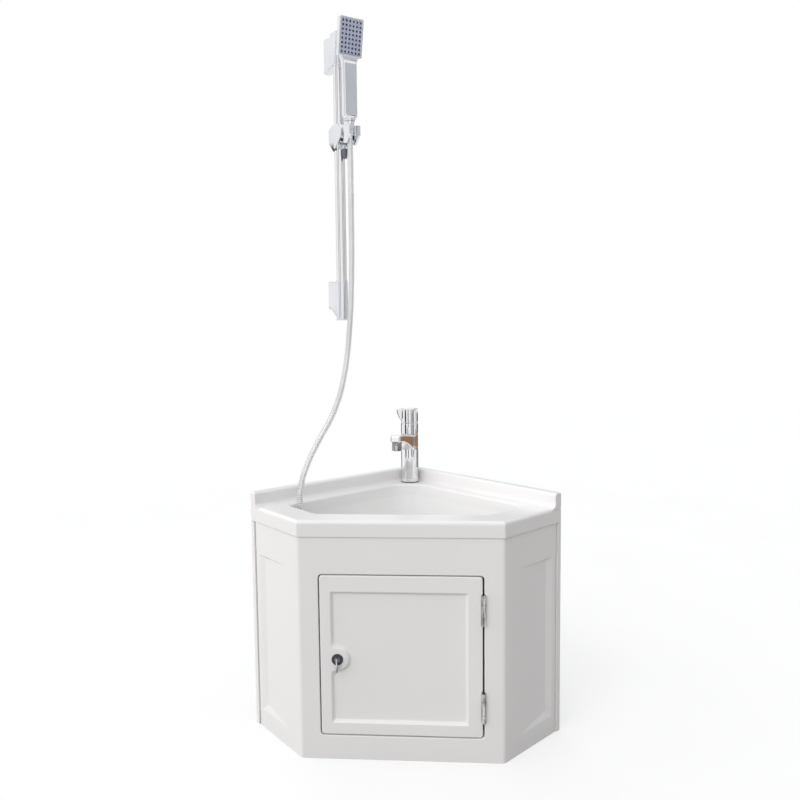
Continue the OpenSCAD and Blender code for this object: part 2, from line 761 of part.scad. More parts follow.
module at_tap() {
    translate([0, tap_y, deck_h]) rotate([0, 0, -tap_swing]) children();
}
gasket_t = 2;
tap_foot_r = tap_r + 1;
cartridge_r = 15;
cartridge_low = tap_body_h - 34;
collar_top = tap_body_h + tap_collar_h;
cap_top = collar_top + tap_cap_h;
stem_top = collar_top + 20;
lever_angle = 60;
spout_rise = 9;
spout_tip_h = 18;
spout_low = tap_body_h + spout_rise - spout_tip_h;
module tap_gasket() color(dark) at_tap() ring(-tap_seat, gasket_t + tap_seat, tap_foot_r, tail_r + 2);
module tap_body() color(chrome) at_tap() difference() {
    union() {
        translate([0, 0, gasket_t]) cylinder(h = 6, r = tap_foot_r);
        translate([0, 0, gasket_t + 5]) cylinder(h = tap_body_h - gasket_t - 5, r = tap_r);
        translate([0, 0, -tail_len]) cylinder(h = tail_len + gasket_t + 1, r = tail_r);
        hull() {
            translate([-17, -10, tap_body_h - 45]) cube([34, 4, 42]);
            translate([-14, -spout_reach - 14, spout_low]) cube([28, 27, spout_tip_h]);
        }
    }
    translate([0, 0, cartridge_low]) cylinder(h = 60, r = cartridge_r + fit);
    translate([0, -spout_reach, spout_low - 1]) cylinder(h = 9, r = aerator_r - 2 + fit);
    // Flat seat for the aerator
    translate([-20, -spout_reach - 20, spout_low - 40]) cube([40, aerator_r + 21, 40]);
}
module tap_aerator() color(chrome) at_tap() translate([0, -spout_reach, spout_low]) {
    difference() {
        union() {
            translate([0, 0, -22]) cylinder(h = 22, r = aerator_r);
            cylinder(h = 8, r = aerator_r - 2);
        }
        translate([0, 0, -23]) cylinder(h = 35, r = aerator_r - 4);
    }
    for (i = [-2:2]) {
        translate([i * 3 - 0.5, 3 - aerator_r, -18]) cube([1, 2 * aerator_r - 6, 2]);
        translate([3 - aerator_r, i * 3 - 0.5, -18]) cube([2 * aerator_r - 6, 1, 2]);
    }
}
module tap_collar() color(chrome) at_tap() ring(tap_body_h, tap_collar_h - slack, tap_r, cartridge_r + fit);
module tap_cartridge() color(brass) at_tap() {
    translate([0, 0, cartridge_low]) cylinder(h = collar_top - cartridge_low - 2, r = cartridge_r);
    translate([0, 0, collar_top - 3]) cylinder(h = stem_top - collar_top + 2, r = stem_r + 1);
}
module tap_handle() color(chrome) at_tap() rotate([0, 0, -lever_angle]) difference() {
    union() {
        translate([0, 0, collar_top]) cylinder(h = tap_cap_h - 2, r = tap_r);
        translate([0, 0, cap_top - 2 - eps]) cylinder(h = 2, r1 = tap_r, r2 = tap_r - 2);
        translate([-8, 0, 0]) rotate([90, 0, 90]) linear_extrude(16) polygon([
            [-10, collar_top + 6], [-tap_r - 6, collar_top + 8], [-tap_r - 12, cap_top - 3],
            [-tap_r - 11, cap_top - 1], [-10, cap_top - 1]
        ]);
    }
    translate([0, 0, collar_top - 1]) cylinder(h = stem_top - collar_top + 1.2, r = stem_r + 1 + fit);
}
module tap_backnut() color(brass) at_tap() hex_ring(-basin_t - 10, 10, tail_hole_r + 6, tail_r + fit);

// Water supply

valve_at = [valve_u, valve_v, 0];
union_face = 36;
body_half = 25;
body_r = 11;
handle_zs = [valve_z - 12, valve_z + 12];
boss_end = valve_v + body_r + 5;
module inlet_union() color(brass) on_left_wall() difference() {
    union() {
        across(valve_u, 0, valve_z, back_t + 1, union_r, union_r);
        translate([valve_u, back_t, valve_z]) rotate([-90, 0, 0]) linear_extrude(7) polygon(regular(20, 6));
        across(valve_u, back_t, valve_z, union_face - back_t, 10, 10);
    }
    across(valve_u, -1, valve_z, 15 + 1, inlet_r, inlet_r);
    across(valve_u, 0, valve_z, union_face + 1, 6, 6);
}
module stop_valve() color(chrome) on_left_wall() difference() {
    union() {
        translate([valve_u, valve_v, valve_z - body_half]) cylinder(h = 2 * body_half, r = body_r);
        across(valve_u, union_face, valve_z, valve_v - union_face, 9, 9);
        translate([valve_u, valve_v, valve_z - body_half - 10]) cylinder(h = 12, r = 9);
        translate([valve_u, valve_v, valve_z + body_half - 2]) cylinder(h = 12, r = 7);
        for (z = handle_zs) across(valve_u, valve_v, z, boss_end - valve_v, 7, 7);
    }
    for (z = handle_zs) across(valve_u, boss_end - 8, z, 10, 3 + fit, 3 + fit);
}
module valve_handle(z, tip) {
    on_left_wall() {
        across(valve_u, boss_end - 7, z, 10, 3, 3);
        across(valve_u, boss_end + slack, z, 8, 8, 7);
        translate([valve_u, boss_end + 2, z]) rotate([-90, 0, 0]) linear_extrude(5)
            polygon(rounded(rect(min(0, tip), max(0, tip), -4, 4), 3, 4));
    }
}
module tap_valve_handle() color(chrome) valve_handle(handle_zs[1], 30);
module shower_valve_handle() color(chrome) valve_handle(handle_zs[0], -30);
riser_low = valve_z + body_half + 10;
tap_u = tap_in / root2;
tail_low = deck_h - tail_len;
module stepped_nut(z, outer, inner, up) {
    difference() {
        translate([0, 0, z - 8]) linear_extrude(16) polygon(regular(outer, 6));
        translate([0, 0, z - 9]) cylinder(h = 18, r = riser_r + slack);
        translate([0, 0, up ? z : z - 9]) cylinder(h = 9, r = inner + fit);
    }
}
module riser_nuts() color(chrome) on_left_wall() {
    translate([valve_u, valve_v, 0]) stepped_nut(riser_low, 10, 7, false);
    translate([tap_u, tap_u, 0]) stepped_nut(tail_low, 17, tail_r, true);
}

// Shower rail

module at_rail() {
    on_left_wall() translate([rail_u, rail_v, 0]) children();
}
rail_top = slider_z + rail_above;
rail_end_low = rail_low + 8;
rail_end_top = rail_top - 22;
sleeve_h = 97;
anchor_r = 3;
anchor_depth = 15;
top_sleeve_low = rail_top - 76;
module rail() color(chrome) at_rail() difference() {
    translate([0, 0, rail_end_low]) cylinder(h = rail_end_top - rail_end_low, r = rail_r);
    translate([0, 0, rail_end_low - 1]) cylinder(h = rail_end_top - rail_end_low + 2, r = rail_r - 1.2);
}
// Both brackets are held by a hanger bolt in a blind hole in the wall side
module anchor_hole(z) {
    translate([0, -rail_v - 1, z]) rotate([-90, 0, 0]) cylinder(h = anchor_depth + 1, r = anchor_r);
}
top_anchor_z = rail_top - 45;
low_anchor_z = rail_low + 50;
module top_bracket() color(chrome) at_rail() difference() {
    union() {
        hull() {
            translate([0, 0, top_sleeve_low]) cylinder(h = 3, r = rail_r + 2.5);
            translate([0, 0, rail_top - 4]) linear_extrude(4)
                polygon(rounded(rect(-16, 16, -18, 16), 3, 3));
        }
        hull() {
            translate([-10, -rail_v, rail_top - 82]) cube([20, 4, 80]);
            translate([-9, -16, rail_top - 70]) cube([18, 6, 66]);
        }
    }
    translate([0, 0, top_sleeve_low - 1])
        cylinder(h = rail_end_top - top_sleeve_low + 1 + eps, r = rail_r + fit);
    anchor_hole(top_anchor_z);
}
module bottom_bracket() color(chrome) at_rail() difference() {
    union() {
        translate([0, 0, rail_low]) cylinder(h = sleeve_h, r = rail_r + 1.8);
        hull() {
            translate([-9, -rail_v, rail_low + 30]) cube([18, 4, sleeve_h - 30]);
            translate([-7, -16, rail_low + 8]) cube([14, 6, sleeve_h - 12]);
        }
    }
    translate([0, 0, rail_end_low - eps]) cylinder(h = sleeve_h, r = rail_r + fit);
    anchor_hole(low_anchor_z);
}

// Slider, holder and hand shower

slider_low = slider_z - 36;
slider_h = 62;
slider_front = 16;
knob_r = 7.5;
knob_y = rail_r + knob_r + 1;
knob_pin_r = 2;
boss_low = slider_low + 2;
boss_h = 9;
pivot_y = 21;
pivot_r = 3;
ear_r = 5;
lug_half = 8.7;
ear_out = 13;
module slider() color(chrome) at_rail() difference() {
    union() {
        intersection() {
            translate([0, 0, slider_low]) linear_extrude(slider_h) polygon([
                [-19, -10], [-10, -19], [10, -19], [19, -10],
                [19, 8], [12, slider_front], [-12, slider_front], [-19, 8]
            ]);
            rotate([90, 0, 90]) translate([0, 0, -20]) linear_extrude(40) polygon([
                [-19, slider_low + 8], [-10, slider_low], [slider_front, slider_low + 6],
                [slider_front, slider_low + slider_h - 12], [4, slider_low + slider_h],
                [-19, slider_low + slider_h - 8]
            ]);
        }
        // Boss that the knob's pin turns in
        translate([0, knob_y, boss_low]) cylinder(h = boss_h, r = 6);
        translate([-6, rail_r + 1, boss_low]) cube([12, knob_y - rail_r - 1, boss_h]);
        for (s = [-1, 1]) translate([s * (lug_half + slack + (ear_out - lug_half) / 2), 0, 0])
            translate([-(ear_out - lug_half) / 2, 0, 0])
                rotate([90, 0, 90]) linear_extrude(ear_out - lug_half) polygon(concat(
                    [[slider_front - 4, slider_z - ear_r], [pivot_y, slider_z - ear_r]],
                    [for (a = [-75:15:75]) [pivot_y, slider_z] + ear_r * [cos(a), sin(a)]],
                    [[pivot_y, slider_z + ear_r], [slider_front - 4, slider_z + ear_r]]
                ));
    }
    translate([0, 0, slider_low - 1]) cylinder(h = slider_h + 2, r = rail_r + fit);
    translate([-30, pivot_y, slider_z]) rotate([0, 90, 0]) cylinder(h = 60, r = pivot_r + fit, $fn = 32);
    translate([0, knob_y, boss_low - 1]) cylinder(h = boss_h, r = knob_pin_r + fit, $fn = 32);
}
module slider_knob() color(chrome) at_rail() translate([0, knob_y, boss_low - slack]) {
    translate([0, 0, -22]) cylinder(h = 16, r1 = knob_r - 2.5, r2 = knob_r);
    translate([0, 0, -6 - eps]) cylinder(h = 6 + eps, r = knob_r);
    translate([0, 0, -1]) cylinder(h = boss_h - 1, r = knob_pin_r, $fn = 32);
}
shower_y = shower_reach;
cradle_low = slider_z - 18;
cradle_h = 32;
cradle_r = 18.5;
prong_x = 14;
nut_low = slider_z - 8;
nut_h = 32;
nut_r1 = 9;
nut_r2 = 11;
function nut_r(z) = nut_r1 + (nut_r2 - nut_r1) * (z - nut_low) / nut_h;
module holder() color(chrome) at_rail() difference() {
    union() {
        translate([0, shower_y, cradle_low]) cylinder(h = cradle_h, r1 = 14, r2 = cradle_r);
        translate([-lug_half, pivot_y, slider_z - ear_r])
            cube([2 * lug_half, shower_y - 12 - pivot_y, 2 * ear_r]);
        translate([-lug_half, pivot_y, slider_z]) rotate([0, 90, 0])
            cylinder(h = 2 * lug_half, r = ear_r - 0.5);
        for (s = [-1, 1]) translate([s * prong_x - 2.5, shower_y + 2, cradle_low + 4])
            cube([5, cradle_r - 1, cradle_h - 4]);
    }
    translate([0, shower_y, cradle_low - 1])
        cylinder(h = cradle_h + 2,
            r1 = nut_r(cradle_low - 1) + slack, r2 = nut_r(cradle_low + cradle_h + 1) + slack);
    translate([-8, shower_y, cradle_low - 1]) cube([16, 30, cradle_h + 2]);
    translate([-30, pivot_y, slider_z]) rotate([0, 90, 0]) cylinder(h = 60, r = pivot_r + fit, $fn = 32);
}
module holder_pin() color(steel) at_rail() translate([-ear_out - slack, pivot_y, slider_z])
    rotate([0, 90, 0]) cylinder(h = 2 * (ear_out + slack), r = pivot_r, $fn = 32);
module at_shower() {
    at_rail() translate([0, shower_y, 0]) children();
}
module at_hand() {
    at_shower() rotate([0, 0, -hand_turn]) children();
}
handle_low = nut_low + nut_h;
handle_top = handle_low + handle_h;
// Axes of the head: z runs up the head and +y is the spray's way
module at_head() {
    at_hand() translate([0, 0, handle_top]) rotate([-head_tilt, 0, 0]) children();
}
function box2(w, t, r) = rounded(rect(-w / 2, w / 2, -t / 2, t / 2), r, 4);
module hand_shower() color(chrome) difference() {
    union() {
        at_hand() {
            hull() {
                translate([0, 0, handle_low]) cylinder(h = 2, r = nut_r2 + 1, $fn = 32);
                translate([0, 0, handle_low + 12]) linear_extrude(2)
                    polygon(box2(handle_w - 1, handle_t - 1, 4));
            }
            translate([0, 0, handle_low + 11]) linear_extrude(handle_h - 15)
                polygon(box2(handle_w, handle_t, 4));
        }
        hull() {
            at_hand() translate([0, 0, handle_top - 10]) linear_extrude(3)
                polygon(box2(handle_w - 1, handle_t - 1, 4));
            at_head() translate([0, 0, 4]) linear_extrude(2) polygon(box2(head_w - 8, head_t - 1, 3));
        }
        at_head() translate([0, head_t / 2, 0]) rotate([90, 0, 0]) linear_extrude(head_t)
            polygon(rounded(rect(-head_w / 2, head_w / 2, 0, head_h), 4, 4));
    }
    at_head() translate([0, head_t / 2 + 1, 0]) rotate([90, 0, 0]) linear_extrude(3)
        polygon(rounded(rect(-head_w / 2 + 4, head_w / 2 - 4, 5, head_h - 5), 3, 4));
    at_hand() translate([0, 0, handle_low - 1]) cylinder(h = 14, r = 7 + fit);
}
module spray_face() color(spray_blue) at_head() translate([0, head_t / 2, 0]) rotate([90, 0, 0])
    linear_extrude(2) polygon(rounded(
        rect(-head_w / 2 + 4 + fit, head_w / 2 - 4 - fit, 5 + fit, head_h - 5 - fit), 3, 4));
nozzle_cols = 6;
nozzle_rows = 8;
nozzle_pitch_x = (head_w - 16) / (nozzle_cols - 1);
nozzle_pitch_z = (head_h - 18) / (nozzle_rows - 1);
module spray_nozzles() color(dark) at_head() for (i = [0:nozzle_cols - 1]) for (j = [0:nozzle_rows - 1])
    translate([
        (i - (nozzle_cols - 1) / 2) * nozzle_pitch_x, head_t / 2,
        head_h / 2 + (j - (nozzle_rows - 1) / 2) * nozzle_pitch_z
    ]) rotate([-90, 0, 0]) cylinder(h = 1.2, r1 = 1.7, r2 = 1.2, $fn = 16);

// Hose: route points as distances along and from the left wall, and height

shower_v = rail_v + shower_reach;
upper_route = [
    [rail_u, shower_v, nut_low], [rail_u, shower_v, nut_low - 38],
    [rail_u, shower_v, 1260], [rail_u, shower_v, 1170], [263, 87, 1090], [265, 87, 1030],
    [268, 87, 975], [272, 86, 925], [278, 86, 875], [288, 85, 820], [303, 84, 768], [326, 82, 718],
    [356, 80, 674], [385, 79, 630], [407, 78, 584], [416, 78, 544], [416, 78, 514], [416, 78, 493]
];
lower_route = [
    [416, 78, 493], [416, 78, 450], [416, 78, 380], [416, 78, 300], [416, 78, 230], [413, 77, 178],
    [400, 74, 146], [379, 69, 128], [355, 64, 122], [331, 59, 128], [310, 54, 146], [297, 51, 178],
    [294, 50, 215], [294, 50, 240], [294, 50, 263]
];
// Points on a smooth curve through the route, with steps points to each stretch
function on_curve(a, b, c, d, t) =
    0.5 * (2 * b + (c - a) * t + (2 * a - 5 * b + 4 * c - d) * t * t + (3 * b - a - 3 * c + d) * t * t * t);
function smooth(route, steps) =
    let (n = len(route) - 1)
    concat([for (i = [0:n - 1]) for (s = [0:steps - 1]) on_curve(
        route[max(i - 1, 0)], route[i], route[i + 1], route[min(i + 2, n)], s / steps)], [route[n]]);
function heading(path, i) = unit(path[min(i + 1, len(path) - 1)] - path[max(i - 1, 0)]);
// Points of a ring round each path point, with one radius for each
function rings(path, radii, sides) = [for (i = [0:len(path) - 1])
    let (along = heading(path, i), side = unit(cross(along, [0, 1, 0])), up = cross(side, along))
    for (k = [0:sides - 1]) path[i] + radii[i] * (cos(k * 360 / sides) * side + sin(k * 360 / sides) * up)];
module tube(path, r, sides) {
    m = len(path);
    points = rings(path, [for (p = path) r], sides);
    faces = concat(
        [[for (k = [0:sides - 1]) k]],
        [for (i = [0:m - 2]) for (k = [0:sides - 1])
            let (a = i * sides + k, b = i * sides + (k + 1) % sides, c = a + sides, d = b + sides)
            each [[a, c, d], [a, d, b]]],
        [[for (k = [sides - 1:-1:0]) (m - 1) * sides + k]]
    );
    polyhedron(points, faces, convexity = 6);
}
// Triangles of a sleeve of m rings from point number o on; turn = 1 faces out and 0 faces in
function sleeve(o, m, sides, turn) = [for (i = [0:m - 2]) for (k = [0:sides - 1])
    let (a = o + i * sides + k, b = o + i * sides + (k + 1) % sides, c = a + sides, d = b + sides)
    each turn == 1 ? [[a, c, d], [a, d, b]] : [[a, d, c], [a, b, d]]];
function lengths(path) = [for (i = 0, s = 0; i < len(path);
    s = s + norm(path[min(i + 1, len(path) - 1)] - path[i]), i = i + 1) s];
function at_length(path, run, s) =
    [for (k = [0:2]) lookup(s, [for (i = [0:len(path) - 1]) [run[i], path[i][k]]])];
// A hose with a bore and evenly spaced ribs, each with a crest ring and a groove ring
module ribbed_hose(path, ribs, sides) {
    run = lengths(path);
    total = run[len(run) - 1];
    pitch = total / ribs;
    outer = [for (i = [0:2 * ribs]) at_length(path, run, i * pitch / 2)];
    cores = floor(total / 14);
    inner = [for (i = [0:cores]) at_length(path, run, i * total / cores)];
    m = len(outer);
    n = len(inner);
    points = concat(
        rings(outer, [for (i = [0:m - 1]) i % 2 == 0 ? hose_r : hose_r - rib_depth], sides),
        rings(inner, [for (p = inner) hose_bore], sides));
    ends = [for (e = [[0, m * sides, 1], [(m - 1) * sides, (m + n - 1) * sides, 0]]) for (k = [0:sides - 1])
        let (a = e[0] + k, b = e[0] + (k + 1) % sides, c = e[1] + k, d = e[1] + (k + 1) % sides)
        each e[2] == 1 ? [[a, b, d], [a, d, c]] : [[a, d, b], [a, c, d]]];
    polyhedron(points, concat(sleeve(0, m, sides, 1), sleeve(m * sides, n, sides, 0), ends), convexity = 8);
}
function straight_ends(path) =
    let (n = len(path) - 1)
    [for (i = [0:n]) i == 1 ? [path[0][0], path[0][1], path[i][2]]
        : i == n - 1 ? [path[n][0], path[n][1], path[i][2]] : path[i]];
riser_route = [
    [valve_u, valve_v, riser_low], [valve_u, valve_v, riser_low + 12],
    [valve_u, valve_v, riser_low + 20], [valve_u - 14, valve_v - 12, riser_low + 36],
    [valve_u - 44, valve_v - 24, riser_low + 42], [180, 26, riser_low + 42], [100, 30, riser_low + 42],
    [tap_u + 16, tap_u - 6, tail_low - 44], [tap_u, tap_u, tail_low - 24], [tap_u, tap_u, tail_low]
];
module riser_pipe() color(chrome) on_left_wall() tube(straight_ends(smooth(riser_route, 3)), riser_r, 12);
module hose_upper() color(chrome) on_left_wall()
    ribbed_hose(straight_ends(smooth(upper_route, 6)), rib_count, 8);
module hose_lower() color(chrome) on_left_wall() tube(straight_ends(smooth(lower_route, 2)), hose_r, 12);
module hose_top_nut() color(chrome) at_shower() {
    translate([0, 0, nut_low]) cylinder(h = nut_h, r1 = nut_r1, r2 = nut_r2);
    translate([0, 0, handle_low - eps]) cylinder(h = 12, r = 7);
}
hose_end = lower_route[len(lower_route) - 1];
module hose_bottom_nut() color(chrome) on_left_wall() translate(hose_end) difference() {
    linear_extrude(valve_z - body_half - hose_end[2] - 1) polygon(regular(13, 6));
    translate([0, 0, valve_z - body_half - 10 - hose_end[2]]) cylinder(h = 30, r = 9 + fit);
}
module hose_grommet() color(dark) on_left_wall() translate([grommet_u, grommet_v, 0]) difference() {
    union() {
        translate([0, 0, shelf_z - basin_t]) cylinder(h = basin_t + 1, r = grommet_r);
        translate([0, 0, shelf_z]) cylinder(h = 3, r1 = grommet_r + 3, r2 = grommet_r + 1);
        translate([0, 0, shelf_z - basin_t - 2]) cylinder(h = 2, r = grommet_r + 2);
    }
    translate([0, 0, shelf_z - 2 * basin_t]) cylinder(h = 4 * basin_t, r = hose_r + fit);
}

cabinet_shell();
back_panel_left();
back_panel_right();
floor_panel();
panel_screws();
basin();
door_skin();
door_back();
upper_frame_leaf();
upper_door_leaf();
upper_hinge_pin();
lower_frame_leaf();
lower_door_leaf();
lower_hinge_pin();
frame_hinge_screws();
door_hinge_screws();
lock_body();
lock_nut();
lock_plug();
lock_key();
lock_cam();
drain_flange();
drain_gasket();
drain_nut();
drain_plug();
trap_nut();
trap_head();
trap_cup();
outlet_nut();
outlet_pipe();
outlet_seal();
tap_gasket();
tap_body();
tap_aerator();
tap_collar();
tap_cartridge();
tap_handle();
tap_backnut();
inlet_union();
stop_valve();
tap_valve_handle();
shower_valve_handle();
riser_pipe();
riser_nuts();
rail();
top_bracket();
bottom_bracket();
slider();
slider_knob();
holder();
holder_pin();
hand_shower();
spray_face();
spray_nozzles();
hose_top_nut();
hose_upper();
hose_lower();
hose_bottom_nut();
hose_grommet();
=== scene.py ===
import json
from contextlib import contextmanager
from math import acos, asin, atan2, ceil, copysign, cos, degrees, floor, hypot, pi, radians, sin, sqrt, tan

import bmesh
import bpy
from mathutils import Matrix, Vector

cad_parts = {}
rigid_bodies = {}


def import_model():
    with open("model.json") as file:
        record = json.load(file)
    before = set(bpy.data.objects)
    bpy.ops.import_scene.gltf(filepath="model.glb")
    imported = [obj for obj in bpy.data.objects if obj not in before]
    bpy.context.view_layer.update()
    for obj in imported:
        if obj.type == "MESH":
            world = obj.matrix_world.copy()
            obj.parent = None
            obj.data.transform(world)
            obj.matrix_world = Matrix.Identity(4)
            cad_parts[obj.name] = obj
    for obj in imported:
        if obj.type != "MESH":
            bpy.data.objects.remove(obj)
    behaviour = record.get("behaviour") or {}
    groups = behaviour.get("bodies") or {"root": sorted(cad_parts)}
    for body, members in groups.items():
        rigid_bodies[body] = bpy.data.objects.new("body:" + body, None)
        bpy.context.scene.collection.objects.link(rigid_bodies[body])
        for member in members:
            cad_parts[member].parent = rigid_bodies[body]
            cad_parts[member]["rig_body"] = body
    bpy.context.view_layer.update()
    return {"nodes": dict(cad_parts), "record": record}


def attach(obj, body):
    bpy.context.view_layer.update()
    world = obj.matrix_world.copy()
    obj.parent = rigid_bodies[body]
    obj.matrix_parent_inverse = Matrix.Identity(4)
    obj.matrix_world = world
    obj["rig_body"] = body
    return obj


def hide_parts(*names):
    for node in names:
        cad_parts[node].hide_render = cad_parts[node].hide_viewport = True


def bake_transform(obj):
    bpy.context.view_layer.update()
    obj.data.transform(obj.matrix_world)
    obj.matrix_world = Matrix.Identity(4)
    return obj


# Looks of the corner vanity unit: camera, hose, smooth mouldings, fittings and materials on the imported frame.
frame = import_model()
scene = bpy.context.scene

# Sizes in millimetres, as in the part's source. Boxes on the front are left, right, lowest and highest.
MM = 0.001
ROOT2 = sqrt(2)
WALL, SIDE, DECK = 500, 192, 520
APRON, UPSTAND, UPSTAND_T = 36, 33, 20
OVERHANG, KEY_REACH = 2.5, 13
DEPTH = (WALL + SIDE) / ROOT2
BACK_Y = (DEPTH + KEY_REACH - OVERHANG) / 2
FACE_Y = BACK_Y - DEPTH + OVERHANG
SHELL_H = DECK - APRON
BOWL_REAR, BOWL_SIDE, BOWL_FRONT, TAP_DECK = 52, 66, 62, 106
BOWL_LEFT, SHELF_LEFT, BOWL_FLOOR = 434, 390, 370
SHELF_Z = DECK - 30
OPENING = (-175, 175, 52, 405)
DOOR = (-172.5, 171.5, 54.5, 402.5)
FIELD = (-149.5, 141.5, 80.5, 367.5)
LOCK = (-136, 220)
HINGE_X, HINGE_ZS, HINGE_H = 173.25, (90, 299.5), 63.5
DRAIN_Y = BACK_Y - 265
TAP_Y, TAP_R, SPOUT_REACH = BACK_Y - 66, 22.8, 105
RAIL_U, RAIL_V, RAIL_R = 262, 45, 12.5
RAIL_LOW, RAIL_TOP, SLIDER_Z = 948, 1624, 1386
REACH = 42
HANDLE_LOW, HANDLE_H, HANDLE_W, HANDLE_T = 1410, 146, 35, 19
HEAD_W, HEAD_H, HEAD_T = 59, 83, 16
TAP_TURN, CAP_TURN, HAND_TURN, HEAD_LEAN = -15, -60, -15, -12

# The camera, as solved from the cabinet's corners in the photograph
IMAGE_PX, FOCAL_PX, SENSOR_MM = 800, 666.27, 36
CAMERA_YAW, CAMERA_PITCH, CAMERA_ROLL = -3.84, 4.28, 0.63
CAMERA_AT = (94.6, BACK_Y - 1844.8, 874.0)

# Inset and rise of points on the quarter circle of an edge rounding of radius 1, in six steps or in four
QUARTER, EASE = ([(1 - sin(a), 1 - cos(a)) for a in (pi / 2 * k / steps for k in range(steps + 1))]
                 for steps in (6, 4))


def plan(u, v):
    """Plan point of a distance u along the left wall and v away from it."""
    return ((v - u) / ROOT2, BACK_Y - (u + v) / ROOT2)


def world(u, v, z):
    """The same in metres, with a height."""
    x, y = plan(u, v)
    return Vector((x, y, z)) * MM


# ---------- camera ----------

def add_camera():
    yaw, pitch, roll = (radians(a) for a in (CAMERA_YAW, CAMERA_PITCH, CAMERA_ROLL))
    ahead = Vector((sin(yaw) * cos(pitch), cos(yaw) * cos(pitch), -sin(pitch)))
    right = Vector((cos(yaw), -sin(yaw), 0))
    down = ahead.cross(right)
    right, down = cos(roll) * right + sin(roll) * down, cos(roll) * down - sin(roll) * right
    camera = bpy.data.objects.new("camera", bpy.data.cameras.new("camera"))
    camera.data.lens = FOCAL_PX / IMAGE_PX * SENSOR_MM
    camera.data.clip_start = 0.05
    facing_ahead = Matrix((right, -down, -ahead)).transposed().to_4x4()
    camera.matrix_world = Matrix.Translation(Vector(CAMERA_AT) * MM) @ facing_ahead
    scene.collection.objects.link(camera)
    scene.camera = camera


add_camera()


# ---------- mesh helpers ----------

pieces = []


def add_object(name, mesh):
    obj = bpy.data.objects.new(name, mesh)
    scene.collection.objects.link(obj)
    return obj


@contextmanager
def edited(mesh):
    """The mesh as a bmesh, which is written back at the end."""
    bm = bmesh.new()
    bm.from_mesh(mesh)
    yield bm
    bm.to_mesh(mesh)
    bm.free()


def mesh_object(name, points, faces):
    """A smooth-shaded mesh piece from points in metres."""
    mesh = bpy.data.meshes.new(name)
    mesh.from_pydata([tuple(p) for p in points], [], faces)
    mesh.update()
    with edited(mesh) as bm:
        bmesh.ops.remove_doubles(bm, verts=bm.verts, dist=2e-6)
        bmesh.ops.dissolve_degenerate(bm, edges=bm.edges, dist=1e-6)
        bmesh.ops.recalc_face_normals(bm, faces=bm.faces)
        smooth_faces(bm)
    return add_object(name, mesh)


def smooth_faces(bm):
    for face in bm.faces:
        face.smooth = True


def facing(obj, direction):
    """Turn an open piece's faces to point along a direction on average."""
    total = sum((p.normal * p.area for p in obj.data.polygons), Vector())
    if total.dot(Vector(direction)) < 0:
        obj.data.flip_normals()
    return obj


def sharpened(obj, angle=35):
    """Mark edges over an angle as sharp, and shade flat faces evenly."""
    with edited(obj.data) as bm:
        for edge in bm.edges:
            edge.smooth = edge.calc_face_angle(0) < radians(angle)
    obj.modifiers.new("even_shading", "WEIGHTED_NORMAL").keep_sharp = True
    return obj


def lofted(name, rings, matrix=None, closed=True, first_cap=False, last_cap=False):
    """A skin over rings of points in millimetres, which the matrix places."""
    sides = len(rings[0])
    faces = []
    for i in range(len(rings) - 1):
        for k in range(sides if closed else sides - 1):
            a, b = i * sides + k, i * sides + (k + 1) % sides
            faces.append((a, b, b + sides, a + sides))
    if first_cap:
        faces.append(tuple(reversed(range(sides))))
    if last_cap:
        faces.append(tuple(range((len(rings) - 1) * sides, len(rings) * sides)))
    points = [Vector(p) * MM for ring in rings for p in ring]
    if matrix:
        points = [matrix @ p for p in points]
    return mesh_object(name, points, faces)


def joined(name, parts):
    """One piece made of several."""
    bm = bmesh.new()
    for part in parts:
        bm.from_mesh(part.data)
        bpy.data.objects.remove(part)
    mesh = bpy.data.meshes.new(name)
    bm.to_mesh(mesh)
    bm.free()
    return add_object(name, mesh)


def capped(name, rings, matrix=None):
    """A closed skin with a cap at both ends."""
    return lofted(name, rings, matrix, first_cap=True, last_cap=True)


def dress(obj, body, slot, *nodes):
    """Let a piece ride on a body, take a finish and stand for CAD nodes."""
    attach(obj, body)
    if nodes:
        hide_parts(*nodes)
    pieces.append((obj, slot))
    return obj


def assemble(name, parts, angle, body, slot, node):
    """Join parts into one piece that is sharp over an angle, and dress it."""
    return dress(sharpened(joined(name, parts), angle), body, slot, node)


def box_ring(a, b, r, z=0.0, x=0.0, y=0.0, steps=6):
    """A rounded rectangle of half sizes a and b, or a circle where r is as large."""
    r = max(min(r, a, b), 0.01)
    ring = []
    for i, (sx, sy) in enumerate(((1, 1), (-1, 1), (-1, -1), (1, -1))):
        for k in range(steps + 1):
            t = radians(90 * i + 90 * k / steps)
            ring.append((x + sx * (a - r) + r * cos(t), y + sy * (b - r) + r * sin(t), z))
    return ring


def toward(angle):
    return Vector((cos(angle), sin(angle)))


def mix(a, b, t):
    return a + (b - a) * t


def smooth_step(t):
    return t * t * (3 - 2 * t)


def post(sections, low=1.0, high=1.0, steps=6):
    """Rings along z through sections (z, a, b, r, x, y), with rounded ends."""
    sections = [tuple(s) + (0.0,) * (6 - len(s)) for s in sections]

    def ring(section, inset=0, rise=0):
        z, a, b, r, x, y = section
        return box_ring(a - inset, b - inset, r - inset, z + rise, x, y, steps)
    rings = [ring(sections[0], low * i, low * rise) for i, rise in EASE]
    rings += [ring(section) for section in sections[1:-1]]
    return rings + [ring(sections[-1], high * i, -high * rise) for i, rise in reversed(EASE)]


def shares(count):
    return [k / count for k in range(1, count + 1)]


def swap_axes(rings, order):
    """Rings whose x, y and z are taken from other axes."""
    return [[tuple(p[i] for i in order) for p in ring] for ring in rings]


def level_bar(reach, a, b, r, soft, steps=6, x=0.0, y=0.0):
    """Rings of a bar along x of half sizes reach, a and b."""
    return swap_axes(post([(-reach, a, b, r, x, y), (reach, a, b, r, x, y)], soft, soft, steps), (2, 0, 1))


